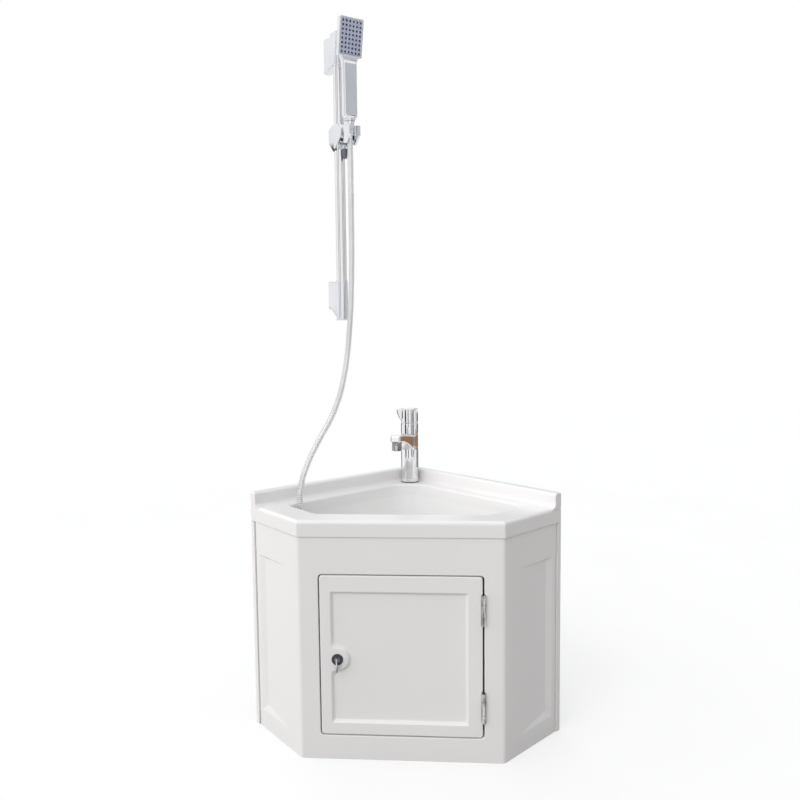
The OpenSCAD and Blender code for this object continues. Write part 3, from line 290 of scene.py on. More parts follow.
def fillet(a, b, c, radius, steps):
    """Arc points that round corner b between a and c."""
    if radius == 0:
        return [b]
    p, q = (a - b).normalized(), (c - b).normalized()
    half = acos(max(-1, min(1, p.dot(q)))) / 2
    centre = b + (p + q).normalized() * radius / sin(half)
    reach = radius / tan(half)
    first, last = b + p * reach - centre, b + q * reach - centre
    swing = atan2(first.x * last.y - first.y * last.x, first.dot(last))
    start = atan2(first.y, first.x)
    return [centre + toward(start + swing * i / steps) * radius for i in range(steps + 1)]


def rounded(points, radii, steps=8):
    """A closed outline with its corners rounded."""
    pts = [Vector(p) for p in points]
    radii = radii if isinstance(radii, (list, tuple)) else [radii] * len(pts)
    return [p for i in range(len(pts))
            for p in fillet(pts[i - 1], pts[i], pts[(i + 1) % len(pts)], radii[i], steps)]


def turned(name, matrix, profile, radii=0, steps=4, sides=64, flutes=0, depth=0.0):
    """A turned piece from points (radius, z) with rounded corners, fluted where flutes are given."""
    profile, rings = rounded(profile, radii, steps), []
    for r, z in profile:
        ring = []
        for k in range(sides):
            t = 2 * pi * k / sides
            cut = depth * max(0, cos(flutes * t)) ** 2 if flutes and r > depth else 0
            ring.append(((r - cut) * cos(t), (r - cut) * sin(t), z))
        rings.append(ring)
    return lofted(name, rings + rings[:1], matrix)


def shift(x, y, z):
    return Matrix.Translation(Vector((x, y, z)) * MM)


def turn(angle, axis):
    return Matrix.Rotation(radians(angle), 4, axis)


# Frames of the parts that are drawn about an axis of their own. The rail's y points into the room.
RAIL = shift(*plan(RAIL_U, RAIL_V), 0) @ turn(-135, "Z")
SHOWER = RAIL @ shift(0, REACH, 0)
HAND = SHOWER @ turn(HAND_TURN, "Z")
HEAD = HAND @ shift(0, 0, HANDLE_LOW + HANDLE_H) @ turn(HEAD_LEAN, "X")
TAP = shift(0, TAP_Y, DECK) @ turn(TAP_TURN, "Z")
CAP = TAP @ turn(CAP_TURN, "Z")
DRAIN = shift(0, DRAIN_Y, 0)
FRONT = shift(0, FACE_Y, 0)


# ---------- hose ----------

# Where the hose starts, where its collar ends and where its straight top ends
HOSE_TOP, COLLAR_END, TOP_END = 1378, 1360, 1240
UPPER_ROUTE = [
    *((262, 87, z) for z in (1378, 1340, 1260, 1170)), (263, 87, 1090), (265, 87, 1030), (268, 87, 975),
    (272, 86, 925), (278, 86, 875), (288, 85, 820), (303, 84, 768), (326, 82, 718), (356, 80, 674),
    (385, 79, 630), (407, 78, 584), *((416, 78, z) for z in (544, 514, 493)),
]
LOWER_ROUTE = [
    *((416, 78, z) for z in (493, 450, 380, 300, 230)), (413, 77, 178), (400, 74, 146), (379, 69, 128),
    (355, 64, 122), (331, 59, 128), (310, 54, 146), (297, 51, 178),
    *((294, 50, z) for z in (215, 240, 263)),
]
HOSE_R, HOSE_SIDES, RIB_PITCH = 7, 20, 4.64
# Share of a rib's pitch and the radius there: a flat crest and a narrow rolled groove
RIB_PROFILE = [(0.0, 6.8), (0.10, 7.0), (0.52, 7.0), (0.66, 6.75), (0.72, 5.5), (0.94, 5.5)]


def smooth_route(route, steps=8):
    """Points on a smooth curve through the route, in metres."""
    pts = [world(*p) for p in route]
    out = []
    for i in range(len(pts) - 1):
        a, b = pts[max(i - 1, 0)], pts[i]
        c, d = pts[i + 1], pts[min(i + 2, len(pts) - 1)]
        for s in range(steps):
            t = s / steps
            out.append(0.5 * (2 * b + (c - a) * t + (2 * a - 5 * b + 4 * c - d) * t * t
                              + (3 * b - a - 3 * c + d) * t ** 3))
    return out + [pts[-1]]


class Path:
    """A line measured along its length, in metres."""

    def __init__(self, points):
        self.points = points
        self.run = [0.0]
        for a, b in zip(points, points[1:]):
            self.run.append(self.run[-1] + (b - a).length)
        self.length = self.run[-1]

    def at(self, s):
        s = min(max(s, 0), self.length)
        i = 1
        while i < len(self.run) - 1 and self.run[i] < s:
            i += 1
        span = self.run[i] - self.run[i - 1]
        return self.points[i - 1].lerp(self.points[i], (s - self.run[i - 1]) / span)

    def part(self, start, end, gap=0.01):
        count = max(2, ceil((end - start) / gap))
        return [self.at(start + (end - start) * i / count) for i in range(count + 1)]


def hose_stretch(name, path, start, end):
    """A stretch of ribbed hose from start to end along the path, in metres."""
    out_of_wall = (world(0, 1, 0) - world(0, 0, 0)).normalized()
    pitch, clear, reach = RIB_PITCH * MM, 2e-4, 0.004
    ribs = range(floor(start / pitch), ceil(end / pitch) + 1)
    stations = [((i + share) * pitch, r) for i in ribs for share, r in RIB_PROFILE]
    stations = [s for s in stations if start + clear < s[0] < end - clear]
    stations = [(start, HOSE_R), *stations, (end, HOSE_R)]
    rings = []
    for s, r in stations:
        here = path.at(s) / MM
        along = (path.at(s + reach) - path.at(s - reach)).normalized()
        side = along.cross(out_of_wall).normalized()
        up = side.cross(along)
        rings.append([here + r * (cos(a) * side + sin(a) * up)
                      for a in (2 * pi * k / HOSE_SIDES for k in range(HOSE_SIDES))])
    return capped(name, rings)


def add_hose():
    upper, lower = Path(smooth_route(UPPER_ROUTE)), Path(smooth_route(LOWER_ROUTE))
    cuts = [(HOSE_TOP - z) * MM for z in (COLLAR_END, TOP_END)]
    collar = hose_stretch("hose_collar", upper, 0, cuts[0])
    top = hose_stretch("hose_top", upper, cuts[0], cuts[1])
    middle = hose_stretch("hose_middle", upper, cuts[1], upper.length)
    hidden = hose_stretch("hose_hidden", lower, 0, lower.length)
    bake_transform(collar)
    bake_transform(top)
    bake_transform(middle)
    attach(hidden, "cabinet")
    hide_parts("hose_upper")
    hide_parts("hose_lower")
    upper.part(*cuts)
    list(reversed(upper.part(cuts[1], upper.length)))
    lower.part(0, lower.length)
    for obj in (collar, top, middle, hidden):
        pieces.append((obj, "hose_steel"))


add_hose()


# ---------- skins from distance fields ----------

def box_field(x0, x1, z0, z1, r=0.01):
    """Signed distance to a rounded rectangle, below 0 inside."""
    cx, cz, hx, hz = (x0 + x1) / 2, (z0 + z1) / 2, (x1 - x0) / 2 - r, (z1 - z0) / 2 - r

    def distance(x, z):
        qx, qz = abs(x - cx) - hx, abs(z - cz) - hz
        return hypot(max(qx, 0), max(qz, 0)) + min(max(qx, qz), 0) - r
    return distance


def soft_max(a, b, k):
    h = max(k - abs(a - b), 0) / k
    return max(a, b) + h * h * k / 4


def soft_min(a, b, k):
    return -soft_max(-a, -b, k)


def ray_point(field, centre, angle, level, far=700, halvings=26):
    """Where a ray from the centre reaches a level of the field."""
    c, s = cos(angle), sin(angle)
    low, high = 0.0, far
    for _ in range(halvings):
        middle = (low + high) / 2
        if field(centre[0] + c * middle, centre[1] + s * middle) < level:
            low = middle
        else:
            high = middle
    return (centre[0] + c * low, centre[1] + s * low)


def fan_angles(centre, corners):
    """Ray angles round a centre: every 3 degrees, and every 0.4 within 4 degrees of a corner."""
    bearings = {round(3.0 * k, 3) for k in range(120)}
    for x, z in corners:
        middle = degrees(atan2(z - centre[1], x - centre[0]))
        bearings |= {round((middle + 0.4 * k) % 360, 3) for k in range(-10, 11)}
    return [radians(a) for a in sorted(bearings)]


def relief(name, centre, corners, levels, cap_depth=None):
    """A skin on the front through levels (field, level, depth), closed to its centre where asked."""
    angles = fan_angles(centre, corners)
    rings = []
    for field, level, depth in levels:
        ring = [ray_point(field, centre, a, level) for a in angles]
        rings.append([(x, depth, z) for x, z in ring])
    if cap_depth is not None:
        rings.append([(mix(x, centre[0], 0.5), cap_depth, mix(z, centre[1], 0.5))
                      for x, _, z in rings[-1]])
        rings.append([(centre[0], cap_depth, centre[1])] * len(angles))
    return facing(lofted(name, rings, FRONT), (0, -1, 0))


def cut_copy(node, planes, drop=lambda centre: False):
    """What is left of a copy of a CAD node behind planes (point, normal) and without the dropped faces."""
    obj = add_object(node + "_rest", frame["nodes"][node].data.copy())
    with edited(obj.data) as bm:
        bmesh.ops.remove_doubles(bm, verts=bm.verts, dist=1e-6)
        for point, normal in planes:
            geometry = bm.verts[:] + bm.edges[:] + bm.faces[:]
            bmesh.ops.bisect_plane(bm, geom=geometry, dist=1e-6, plane_co=Vector(point) * MM,
                                   plane_no=Vector(normal).normalized(), clear_outer=True)
        gone = [f for f in bm.faces if drop(f.calc_center_median() / MM)]
        bmesh.ops.delete(bm, geom=gone, context="FACES")
        smooth_faces(bm)
    return obj


def corners_of(box):
    return [(x, z) for x in box[:2] for z in box[2:]]


HINGE_GAP = 1.5
NOTCH_CORNERS = [(HINGE_X, z + s) for z in HINGE_ZS for s in (-HINGE_GAP, HINGE_H + HINGE_GAP)]


def hinge_notch(reach):
    """Where the hinges are let into the edges round the door."""
    notches = [box_field(HINGE_X - reach, HINGE_X + reach, z - HINGE_GAP, z + HINGE_H + HINGE_GAP, 0.8)
               for z in HINGE_ZS]
    return lambda x, z: min(f(x, z) for f in notches)


# ---------- cabinet ----------

FRONT_R = 12
ARC_REACH = FRONT_R * tan(radians(22.5))
SIDE_U = WALL - OVERHANG
SIDE_V = SIDE - OVERHANG * (ROOT2 - 1)
PANEL_X = (SIDE_U - SIDE_V) / ROOT2 - ARC_REACH - 1.5
# The sunk field of a side: its depth, its limits, and how far its slopes run at the rear and the bottom,
# at the front, and at the top
SUNK, SUNK_REAR, SUNK_FRONT, SUNK_LOW, SUNK_TOP = 5, 28, 142, 42, 411
STEEP_RUN, LONG_RUN, TOP_RUN = 18, 96, 4


def field_depth(v, z):
    """How deep the field in a cabinet side is sunk at a distance v from the wall."""
    along = soft_min((v - SUNK_REAR) * SUNK / STEEP_RUN, (SUNK_FRONT - v) * SUNK / LONG_RUN, 0.8)
    upright = soft_min((z - SUNK_LOW) * SUNK / STEEP_RUN, (SUNK_TOP - z) * SUNK / TOP_RUN, 0.8)
    return soft_max(min(soft_min(along, upright, 0.5), SUNK), 0, 0.5)


def cabinet_side(mirror):
    """One side of the cabinet from its rear edge, round the front corner, to the front panel.

    Its rows and columns lie closer together along the slopes of the sunk field.
    """
    v_end = SIDE_V - ARC_REACH
    zs = [0.01, 20, 34, 38] + [39 + 1.5 * k for k in range(20)] + list(range(72, 400, 16))
    zs += [402 + 0.75 * k for k in range(17)] + [418, 440, 462, SHELL_H]
    vs = [19, 24, 26, 27] + [28 + 0.75 * k for k in range(4)] + list(range(32, 44, 3))
    vs += [44.5, 45.5, 46.5, 48, 51] + [55 + 5 * k for k in range(16)] + [134, 138, 142, 146, 156, v_end]
    edge = [(SIDE_U - 6, 14), (SIDE_U - 2, 14), (SIDE_U - 0.6, 14.3), (SIDE_U - 0.15, 15), (SIDE_U, 16.2)]
    corner = Vector(plan(SIDE_U, v_end)) + Vector((1, 1)) / ROOT2 * FRONT_R
    arc = [corner + toward(radians(225 + 4.5 * k)) * FRONT_R for k in range(1, 11)]
    rings = []
    for z in zs:
        ring = [plan(u, v) for u, v in edge]
        ring += [plan(SIDE_U - field_depth(v, z), v) for v in vs]
        ring += [tuple(p) for p in arc] + [(-PANEL_X, FACE_Y)]
        rings.append([(mirror * x, y, z) for x, y in ring])
    return facing(lofted("cabinet_side", rings, closed=False), (-mirror, -1, 0))


def add_cabinet():
    panel, soft = (-PANEL_X, PANEL_X, 0, SHELL_H), 1.6
    outer, hole, notch = box_field(*panel), box_field(*OPENING, 9), hinge_notch(3.85)

    def inner(x, z):
        return min(hole(x, z), notch(x, z))
    levels = [(outer, 0, 0)]
    levels += [(inner, soft * i, soft * rise) for i, rise in QUARTER]
    front = relief("cabinet_front", (0, 228), corners_of(OPENING) + corners_of(panel) + NOTCH_CORNERS, levels)
    planes = [((0, FACE_Y + soft, 0), (0, -1, 0))]
    for mirror in (1, -1):
        x, y = plan(SIDE_U - 5.8, 100)
        planes.append(((mirror * x, y, 0), (-mirror, -1, 0)))
    sides = [cabinet_side(1), cabinet_side(-1)]
    assemble("cabinet_moulding", [front, *sides, cut_copy("cabinet_shell", planes)], 35,
             "cabinet", "moulding", "cabinet_shell")


# The slope of the door's sunk field, as distance past its outline and depth, and the pad round the lock
FIELD_SLOPE = [(1.2, 0), (0.5, 0.1), (-0.2, 0.45), (-0.9, 1.1), (-2.6, 2.9), (-4.3, 4.7), (-4.9, 5.25),
               (-5.6, 5.7), (-6.4, 5.93), (-7.4, 6)]
PAD_R, PAD_BLEND = 23, 18


def from_lock(x, z):
    return hypot(x - LOCK[0], z - LOCK[1])


def add_door():
    slab, notch, sunk, soft = box_field(*DOOR, 7), hinge_notch(3.6), box_field(*FIELD, 4), 2.6

    def outline(x, z):
        return max(slab(x, z), -notch(x, z))

    def field(x, z):
        return soft_max(sunk(x, z), PAD_R - from_lock(x, z), PAD_BLEND)
    levels = [(outline, -soft * rise, soft * i) for i, rise in QUARTER]
    levels += [(field, level, depth) for level, depth in FIELD_SLOPE]
    pad = [(LOCK[0] - 10, LOCK[1] + s) for s in (-44, -32, -20, 0, 20, 32, 44)]
    corners = corners_of(DOOR) + corners_of(FIELD) + NOTCH_CORNERS + pad
    front = relief("door_front", (-4, 224), corners, levels, cap_depth=6)

    def in_front(centre):
        """Whether a face of the CAD copy lies behind the new front, outside the lock's bore."""
        inside = slab(centre.x, centre.z) < -8 and centre.y < FACE_Y + 7
        return inside and from_lock(centre.x, centre.z) > 12
    rest = cut_copy("door_skin", [((0, FACE_Y + soft, 0), (0, -1, 0))], in_front)
    assemble("door_moulding", [front, rest], 35, "door", "moulding", "door_skin")


add_cabinet()
add_door()


# ---------- basin ----------

def plans(pairs):
    return [plan(*p) for p in pairs]


def basin_outline(o):
    """The basin's outline, set in by o from its two short sides and its front."""
    u, v = WALL - o, SIDE - o * (ROOT2 - 1)
    return rounded(plans([(0, 0), (u, 0), (u, v), (v, u), (0, u)]), [0, 0, 5, 5, 0])


def bowl_outline(i, left):
    """The bowl's outline, set in by i, with its left end at a distance from the corner."""
    rear, right = BOWL_REAR + i, WALL - BOWL_SIDE - i
    front, corner = WALL + SIDE - (BOWL_FRONT + i) * ROOT2, (TAP_DECK + i) * ROOT2
    return rounded(plans([(left - i, rear), (left - i, front - left + i), (front - right, right),
                          (rear, right), (rear, corner - rear), (corner - rear, rear)]),
                   [24, 24, 24, 24, 60, 60])


def circle(centre, r, steps=96):
    return [centre + toward(2 * pi * k / steps) * r for k in range(steps)]


def cast(outline, centre, angle):
    """The farthest point where a ray from the centre meets a closed outline."""
    d = toward(angle)
    best = 0
    for a, b in zip(outline, outline[1:] + outline[:1]):
        a, b = a - centre, b - centre
        across = b - a
        det = d.y * across.x - d.x * across.y
        if abs(det) < 1e-12:
            continue
        t = (a.y * across.x - a.x * across.y) / det
        s = (d.x * a.y - d.y * a.x) / det
        if -1e-9 <= s <= 1 + 1e-9 and t > best:
            best = t
    return centre + d * best


def basin_body():
    """Apron, deck, hose shelf and bowl as one skin that runs in to the waste."""
    centre = Vector((0, DRAIN_Y))
    corners = basin_outline(0) + bowl_outline(0, BOWL_LEFT) + bowl_outline(2, SHELF_LEFT)
    corners += bowl_outline(34, SHELF_LEFT)
    angles = {round(atan2((p - centre).y, (p - centre).x), 4) for p in corners}
    angles |= {round(radians(a), 4) for a in range(-180, 180, 2)}
    foot = DECK - APRON + 0.5
    levels = [(basin_outline(9), foot), (basin_outline(1.2), foot), (basin_outline(0.3), foot + 0.7),
              (basin_outline(0), foot + 2.5), (basin_outline(0), DECK - 9)]
    soft, lip = 8, 6
    levels += [(basin_outline(soft * rise), DECK - soft * i) for i, rise in QUARTER]
    levels += [(basin_outline(soft + 1), DECK), (bowl_outline(-lip - 1, BOWL_LEFT), DECK)]
    levels += [(bowl_outline(-lip * i, BOWL_LEFT), DECK - lip * rise) for i, rise in QUARTER]
    for base, left, steps in [
        (SHELF_Z, BOWL_LEFT, [(16, 0.9, 0), (7, 1.5, 0), (3, 1.8, -1), (0.8, 2.0, -3.2), (0, 2.2, -7)]),
        (SHELF_Z, SHELF_LEFT, [(0, 2.3, 6), (-0.9, 2.5, 2.2), (-3, 3, 0.7), (-7, 4, 0), (-30, 10, 0),
                               (-60, 18, 0), (-90, 26, 0)]),
        (BOWL_FLOOR, SHELF_LEFT, [(16, 29.6, 0), (10, 31.6, 0), (5, 35, 0), (2, 39, 0), (0.8, 44, 0)]),
    ]:
        levels += [(bowl_outline(i, left + move), base + rise) for rise, i, move in steps]
    for r, drop in [(62, -0.4), (36, 0), (34.5, 0.4), (34, 2), (30, 2.4), (20, 2.4)]:
        levels.append((circle(centre, r), BOWL_FLOOR - drop))
    rings = [[(*cast(outline, centre, a), z) for a in sorted(angles)] for outline, z in levels]
    return lofted("basin_body", rings)


def basin_upstand():
    """The upstand's section, swept along both walls and mitred in the corner."""
    top, cove, lip, rear = DECK + UPSTAND, 9, 7, 3
    section = [(UPSTAND_T + cove + 2, DECK - 3)]
    section += [(UPSTAND_T + cove - cove * sin(a), DECK + cove - cove * cos(a))
                for a in (radians(9 * k) for k in range(11))]
    section += [(UPSTAND_T - lip * rise, top - lip * i) for i, rise in QUARTER]
    section += [(rear * i, top - rear * rise) for i, rise in QUARTER]
    section += [(0, DECK - 3)]

    def swept(along, drop=0.0, second=False):
        """The section at a distance along a wall, its top lowered by drop."""
        ring = []
        for off, z in section:
            z -= drop * max(0, (z - DECK) / UPSTAND)
            ring.append((*(plan(off, along) if second else plan(along, off)), z))
        return ring
    end = [(WALL - rear + rear * sin(a), rear * (1 - cos(a))) for a in (radians(18 * k) for k in range(6))]
    rings = [swept(along, drop) for along, drop in reversed(end)] + [swept(along) for along in (400, 200, 40)]
    rings.append([(*plan(off, off), z) for off, z in section])
    rings += [swept(along, 0, True) for along in (40, 200, 400)]
    rings += [swept(along, drop, True) for along, drop in end]
    return capped("basin_upstand", rings)


assemble("basin_moulding", [basin_body(), basin_upstand()], 60, "cabinet", "moulding", "basin")


# ---------- waste seen in the bowl ----------

def add_waste():
    z = BOWL_FLOOR
    flange = turned("waste_rim", DRAIN, [
        (28.5, z - 3), (33, z - 2.4), (32.4, z - 0.1), (29, z + 0.1), (26, z - 2.5), (20, z - 8),
        (20, z - 62), (22, z - 62), (22, z - 4)], [0.5, 0.5, 0.8, 1.5, 3, 2, 0.3, 0.3, 0.3], 4)
    bar = level_bar(21, 1.5, 2, 0.6, 0.3, 2)
    grid = [capped("waste_bar", bar, DRAIN @ shift(0, 0, z - 14) @ turn(a, "Z")) for a in (0, 90)]
    hub = turned("waste_hub", DRAIN, [(4.1, z - 18), (7, z - 18), (7, z - 8), (4.1, z - 8)], 0.4, 3)
    assemble("waste_flange", [flange, hub, *grid], 35, "cabinet", "chrome", "drain_flange")
    plug = turned("waste_plug", DRAIN, rounded(
        [(0, z + 0.3), (28, z + 0.3), (27.4, z + 2.6), (20, z + 3.3), (0, z + 3.3)], [0, 0.4, 1.2, 6, 0], 5)
        + rounded([(0, z - 34), (4, z - 34), (4, z + 0.5), (0, z + 0.5)], [0, 0.6, 0.2, 0], 3))
    dress(sharpened(plug), "plug", "chrome", "drain_plug")


add_waste()


# ---------- tap ----------

def lengthwise(sections, corner, steps=6):
    """Rings along -y through sections (distance out, half width, lowest and highest point)."""
    return swap_axes([box_ring(half, (high - low) / 2, corner, -out, 0, (high + low) / 2, steps)
                      for out, half, low, high in sections], (0, 2, 1))


def add_tap():
    """The tap's column, spout, outlet with its grille, collar, and cap with a lever, above the deck."""
    r = TAP_R
    body = turned("tap_column", TAP, [
        (0, -90), (13, -90), (13, 1.9), (r + 1, 2.1), (r + 1, 7.4), (r, 8.6), (r, 129.6), (r - 2, 129.9),
        (0, 129.9)], [0, 0.6, 0.2, 0.6, 1, 0.6, 0.5, 0.3, 0], 4, 96)
    sections = [(4, 22, 84, 128), (14, 21.4, 85.5, 127.8), (19, 19.4, 87.5, 127.6), (24, 18, 91, 128),
                (31, 17, 96, 129), (40, 16.4, 101, 130.5), (60, 15.6, 110, 133.4), (80, 14.8, 116.5, 136.2),
                (92, 14.3, 119.5, 137.8), (106, 14, 121, 139)]
    sections += [(119 - 5 * rise, 14 - 5 * i, 121 + 3 * i, 139 - 5 * i) for i, rise in reversed(EASE)]
    spout = capped("tap_spout", lengthwise(sections, 3), TAP)
    assemble("tap_body_shell", [body, spout], 40, "cabinet", "chrome", "tap_body")
    outlet = TAP @ shift(0, -SPOUT_REACH, 121)
    ring = turned("tap_outlet", outlet, [
        (8.5, -22), (11.6, -22), (12.5, -20.8), (12.5, -7.2), (11.7, -6.6), (11.7, -5.6), (12.5, -5),
        (12.5, -0.05), (10.5, -0.05), (10.5, 7.9), (8.5, 7.9)], 0.3, 3)
    bar = level_bar(9, 0.5, 0.8, 0.2, 0.1, 2)
    bars = [capped("outlet_bar", bar, outlet @ turn(angle, "Z") @ shift(0, 3 * k, z))
            for k in range(-2, 3) for angle, z in ((0, -17), (90, -16))]
    assemble("tap_outlet_shell", [ring, *bars], 35, "cabinet", "chrome", "tap_aerator")
    collar = turned("tap_collar_ring", TAP, [
        (15.1, 130.1), (r - 1, 130.1), (r, 131.2), (r, 156.6), (r - 0.9, 157.4), (r - 0.9, 160.6),
        (15.1, 160.6)], [0, 0.3, 0.6, 0.4, 0.3, 0, 0], 4, 96)
    dress(sharpened(collar), "cabinet", "chrome", "tap_collar")
    cap = turned("tap_cap_shell", CAP, [
        (0, 161.1), (r - 1.2, 161.1), (r, 162.6), (r, 196.4), (r - 2.2, 198.9), (0, 199)],
        [0, 0.3, 0.8, 0.8, 1.2, 0], 5, 96)
    sections = [(8, 8, 168, 197.6), (20, 8, 168, 197.8), (25, 7.8, 169, 198), (28, 7.6, 174, 198),
                (31, 7.2, 182, 197.8), (33.5, 6.4, 190, 197.2), (34.3, 5, 193, 196)]
    lever = capped("tap_lever", lengthwise(sections, 2.2, 4), CAP)
    assemble("tap_cap_and_lever", [cap, lever], 40, "tap_cap", "chrome", "tap_handle")


add_tap()


# ---------- shower rail ----------

def bracket_arm(plate, root):
    """A bracket's arm from its wall plate to the sleeve, each as half width, lowest and highest point."""
    half, low, high = plate
    sections = [(RAIL_V - rise * 1.2, half - i * 1.2, low + i * 1.2, high - i * 1.2) for i, rise in EASE]
    sections.append((RAIL_V - 4, *plate))
    for t in shares(7):
        share = mix(t, smooth_step(t), 0.5)
        sections.append((mix(RAIL_V - 4, 13, t), *(mix(p, q, share) for p, q in zip(plate, root))))
    sections.append((9, *root))
    return capped("rail_arm", lengthwise(sections, 4), RAIL)


def add_rail():
    top = RAIL_TOP - 22
    tube = turned("rail_tube", RAIL, [
        (11.3, RAIL_LOW + 8), (RAIL_R, RAIL_LOW + 8), (RAIL_R, top), (11.3, top)], 0.3, 3, 96)
    dress(sharpened(tube), "cabinet", "chrome", "rail")
    low = RAIL_TOP - 76
    sections = [(low, 15, 15, 15), (low + 3, 15, 15, 15)]
    sections += [(mix(low + 3, RAIL_TOP - 4, t), mix(15, 14.2, t), mix(15, 14.6, t), mix(15, 3, t),
                  0, -0.4 * t) for t in shares(12)]
    sections.append((RAIL_TOP, 14.2, 14.6, 3, 0, -0.4))
    cap = capped("rail_cap", post(sections, 1.2, 1.4), RAIL)
    arm = bracket_arm((10, RAIL_TOP - 82, RAIL_TOP - 2), (9, RAIL_TOP - 70, RAIL_TOP - 4))
    assemble("rail_bracket_top", [cap, arm], 40, "cabinet", "plated_plastic", "top_bracket")
    high = RAIL_LOW + 97
    sleeve = turned("rail_sleeve", RAIL, [
        (0, RAIL_LOW), (14.3, RAIL_LOW), (14.3, high - 4), (13.7, high - 3.4), (13.7, high), (12.6, high),
        (12.6, RAIL_LOW + 8), (0, RAIL_LOW + 8)], [0, 2.2, 0.3, 0.3, 0.6, 0.2, 0.2, 0], 5, 96)
    arm = bracket_arm((9, RAIL_LOW + 30, high), (7, RAIL_LOW + 8, high - 4))
    assemble("rail_bracket_low", [sleeve, arm], 40, "cabinet", "plated_plastic", "bottom_bracket")


def upright_plate(name, outline, inner, outer, matrix):
    """A plate between two distances along x, with its outline's edges rounded."""
    middle = sum(outline, Vector((0, 0))) / len(outline)
    way = copysign(1, outer - inner)
    stations = [(inner + way * rise, i) for i, rise in EASE]
    stations += [(outer - way * rise, i) for i, rise in reversed(EASE)]
    rings = [[(x, *(p + (middle - p).normalized() * i)) for p in outline] for x, i in stations]
    return capped(name, rings, matrix)


def add_slider():
    """The slider with the boss for its knob, two ears that hold the holder's pin, and two cheeks."""
    low, high = SLIDER_Z - 36, SLIDER_Z + 26
    body = [(low, 12, 10, 3, 0, -1.5), (low + 19, 18.9, 17.5, 3, 0, -1.5), (low + 21, 19, 17.5, 3, 0, -1.5),
            (high - 13, 19, 17.5, 3, 0, -1.5), (high - 11, 18.8, 17.3, 3, 0, -1.5),
            (high, 13, 13.4, 3, 0, -1)]
    boss = [(low + 2, 6, 5.5, 5, 0, 16.9), (low + 11, 6, 5.5, 5, 0, 16.9)]
    parts = [capped("slider_body", post(body, 0.8, 0.8), RAIL),
             capped("slider_boss", post(boss, 0.8, 0.8), RAIL)]
    for side in (-1, 1):
        ear = post([(9, 6.5, 5, 4.9, 19.5, SLIDER_Z), (13, 6.5, 5, 4.9, 19.5, SLIDER_Z)], 0.7, 0.7)
        ear = [[(side * z, x, y) for x, y, z in ring] for ring in ear]
        parts.append(capped("slider_ear", ear, RAIL))
        cheek = rounded([(2, low + 5), (6, low + 2), (31.5, SLIDER_Z - 7), (31.5, SLIDER_Z + 9),
                         (16, high - 4), (2, high - 7)], [2, 3, 3, 4, 6, 3], 5)
        parts.append(upright_plate("slider_cheek", cheek, side * 17, side * 19.2, RAIL))
    assemble("slider_shell", parts, 40, "slider", "plated_plastic", "slider")
    top = low + 1.7
    knob = turned("knob_shell", RAIL @ shift(0, RAIL_R + 8.5, 0), [
        (0, top - 22), (4.6, top - 22), (7.5, top - 6), (7.5, top - 1), (6.6, top), (1.5, top),
        (1.5, top + 7), (0, top + 7)], [0, 1.6, 2, 0.8, 0.3, 0.2, 0.4, 0], 5, 72, 12, 0.5)
    dress(sharpened(knob, 45), "knob", "plated_plastic", "slider_knob")


def add_holder():
    """The holder's open cradle, its two prongs, and the lug that turns on its pin."""
    low, high, half_gap, steps = SLIDER_Z - 18, SLIDER_Z + 14, 8, 48
    profile = rounded([(8.7, low), (14, low), (18.5, high), (10.7, high)], [0.6, 3, 1.6, 0.6], 5)
    rings = []
    for k in range(steps + 1):
        ring = []
        for r, z in profile:
            start = pi / 2 + asin(half_gap / r)
            t = mix(start, 3 * pi - start, k / steps)
            ring.append((r * cos(t), r * sin(t), z))
        rings.append(ring)
    parts = [capped("holder_cradle", rings, SHOWER)]
    outline = rounded([(-4, low - 9), (3, low - 10), (19.5, low + 9), (19.5, high), (1, high)],
                      [2, 2, 4, 2.5, 2], 5)
    for side in (-1, 1):
        parts.append(upright_plate("holder_prong", outline, side * 11.5, side * 16.4, SHOWER))
    lug = level_bar(8.7, 7.2, 4.9, 4.5, 0.7, x=-18.4, y=SLIDER_Z)
    parts.append(capped("holder_lug", lug, SHOWER))
    assemble("holder_shell", parts, 40, "holder", "plated_plastic", "holder")


def shower_handle():
    """The handle: a round foot, a flat grip, and a neck that widens and leans into the head."""
    a, b, foot, grip_r = HANDLE_W / 2, HANDLE_T / 2, 12, 5
    top, neck = HANDLE_LOW + HANDLE_H, 18

    def put(matrix, ring):
        return [matrix @ (Vector(p) * MM) / MM for p in ring]
    rings = [box_ring(r, r, r, HANDLE_LOW + z) for r, z in ((10.8, 0), (11.7, 0.4), (foot, 1.4), (foot, 2))]
    for share in shares(8):
        t, z = smooth_step(share), HANDLE_LOW + 2 + 12 * share
        rings.append(box_ring(mix(foot, a, t), mix(foot, b, t), mix(foot, grip_r, t), z))
    rings += [box_ring(a, b, grip_r, z) for z in (HANDLE_LOW + 60, top - neck)]
    rings = [put(HAND, ring) for ring in rings]
    for t in shares(12):
        half, thick = mix(a, HEAD_W / 2 - 2, 1 - sqrt(1 - t * t)), mix(b, HEAD_T / 2 - 0.6, t)
        straight = box_ring(half, thick, mix(grip_r, 3, t), top - neck + neck * t)
        leaning = box_ring(half, thick, mix(grip_r, 3, t), -neck + 20 * t)
        rings.append([p.lerp(q, smooth_step(t)) for p, q in zip(put(HAND, straight), put(HEAD, leaning))])
    return capped("shower_handle", rings)


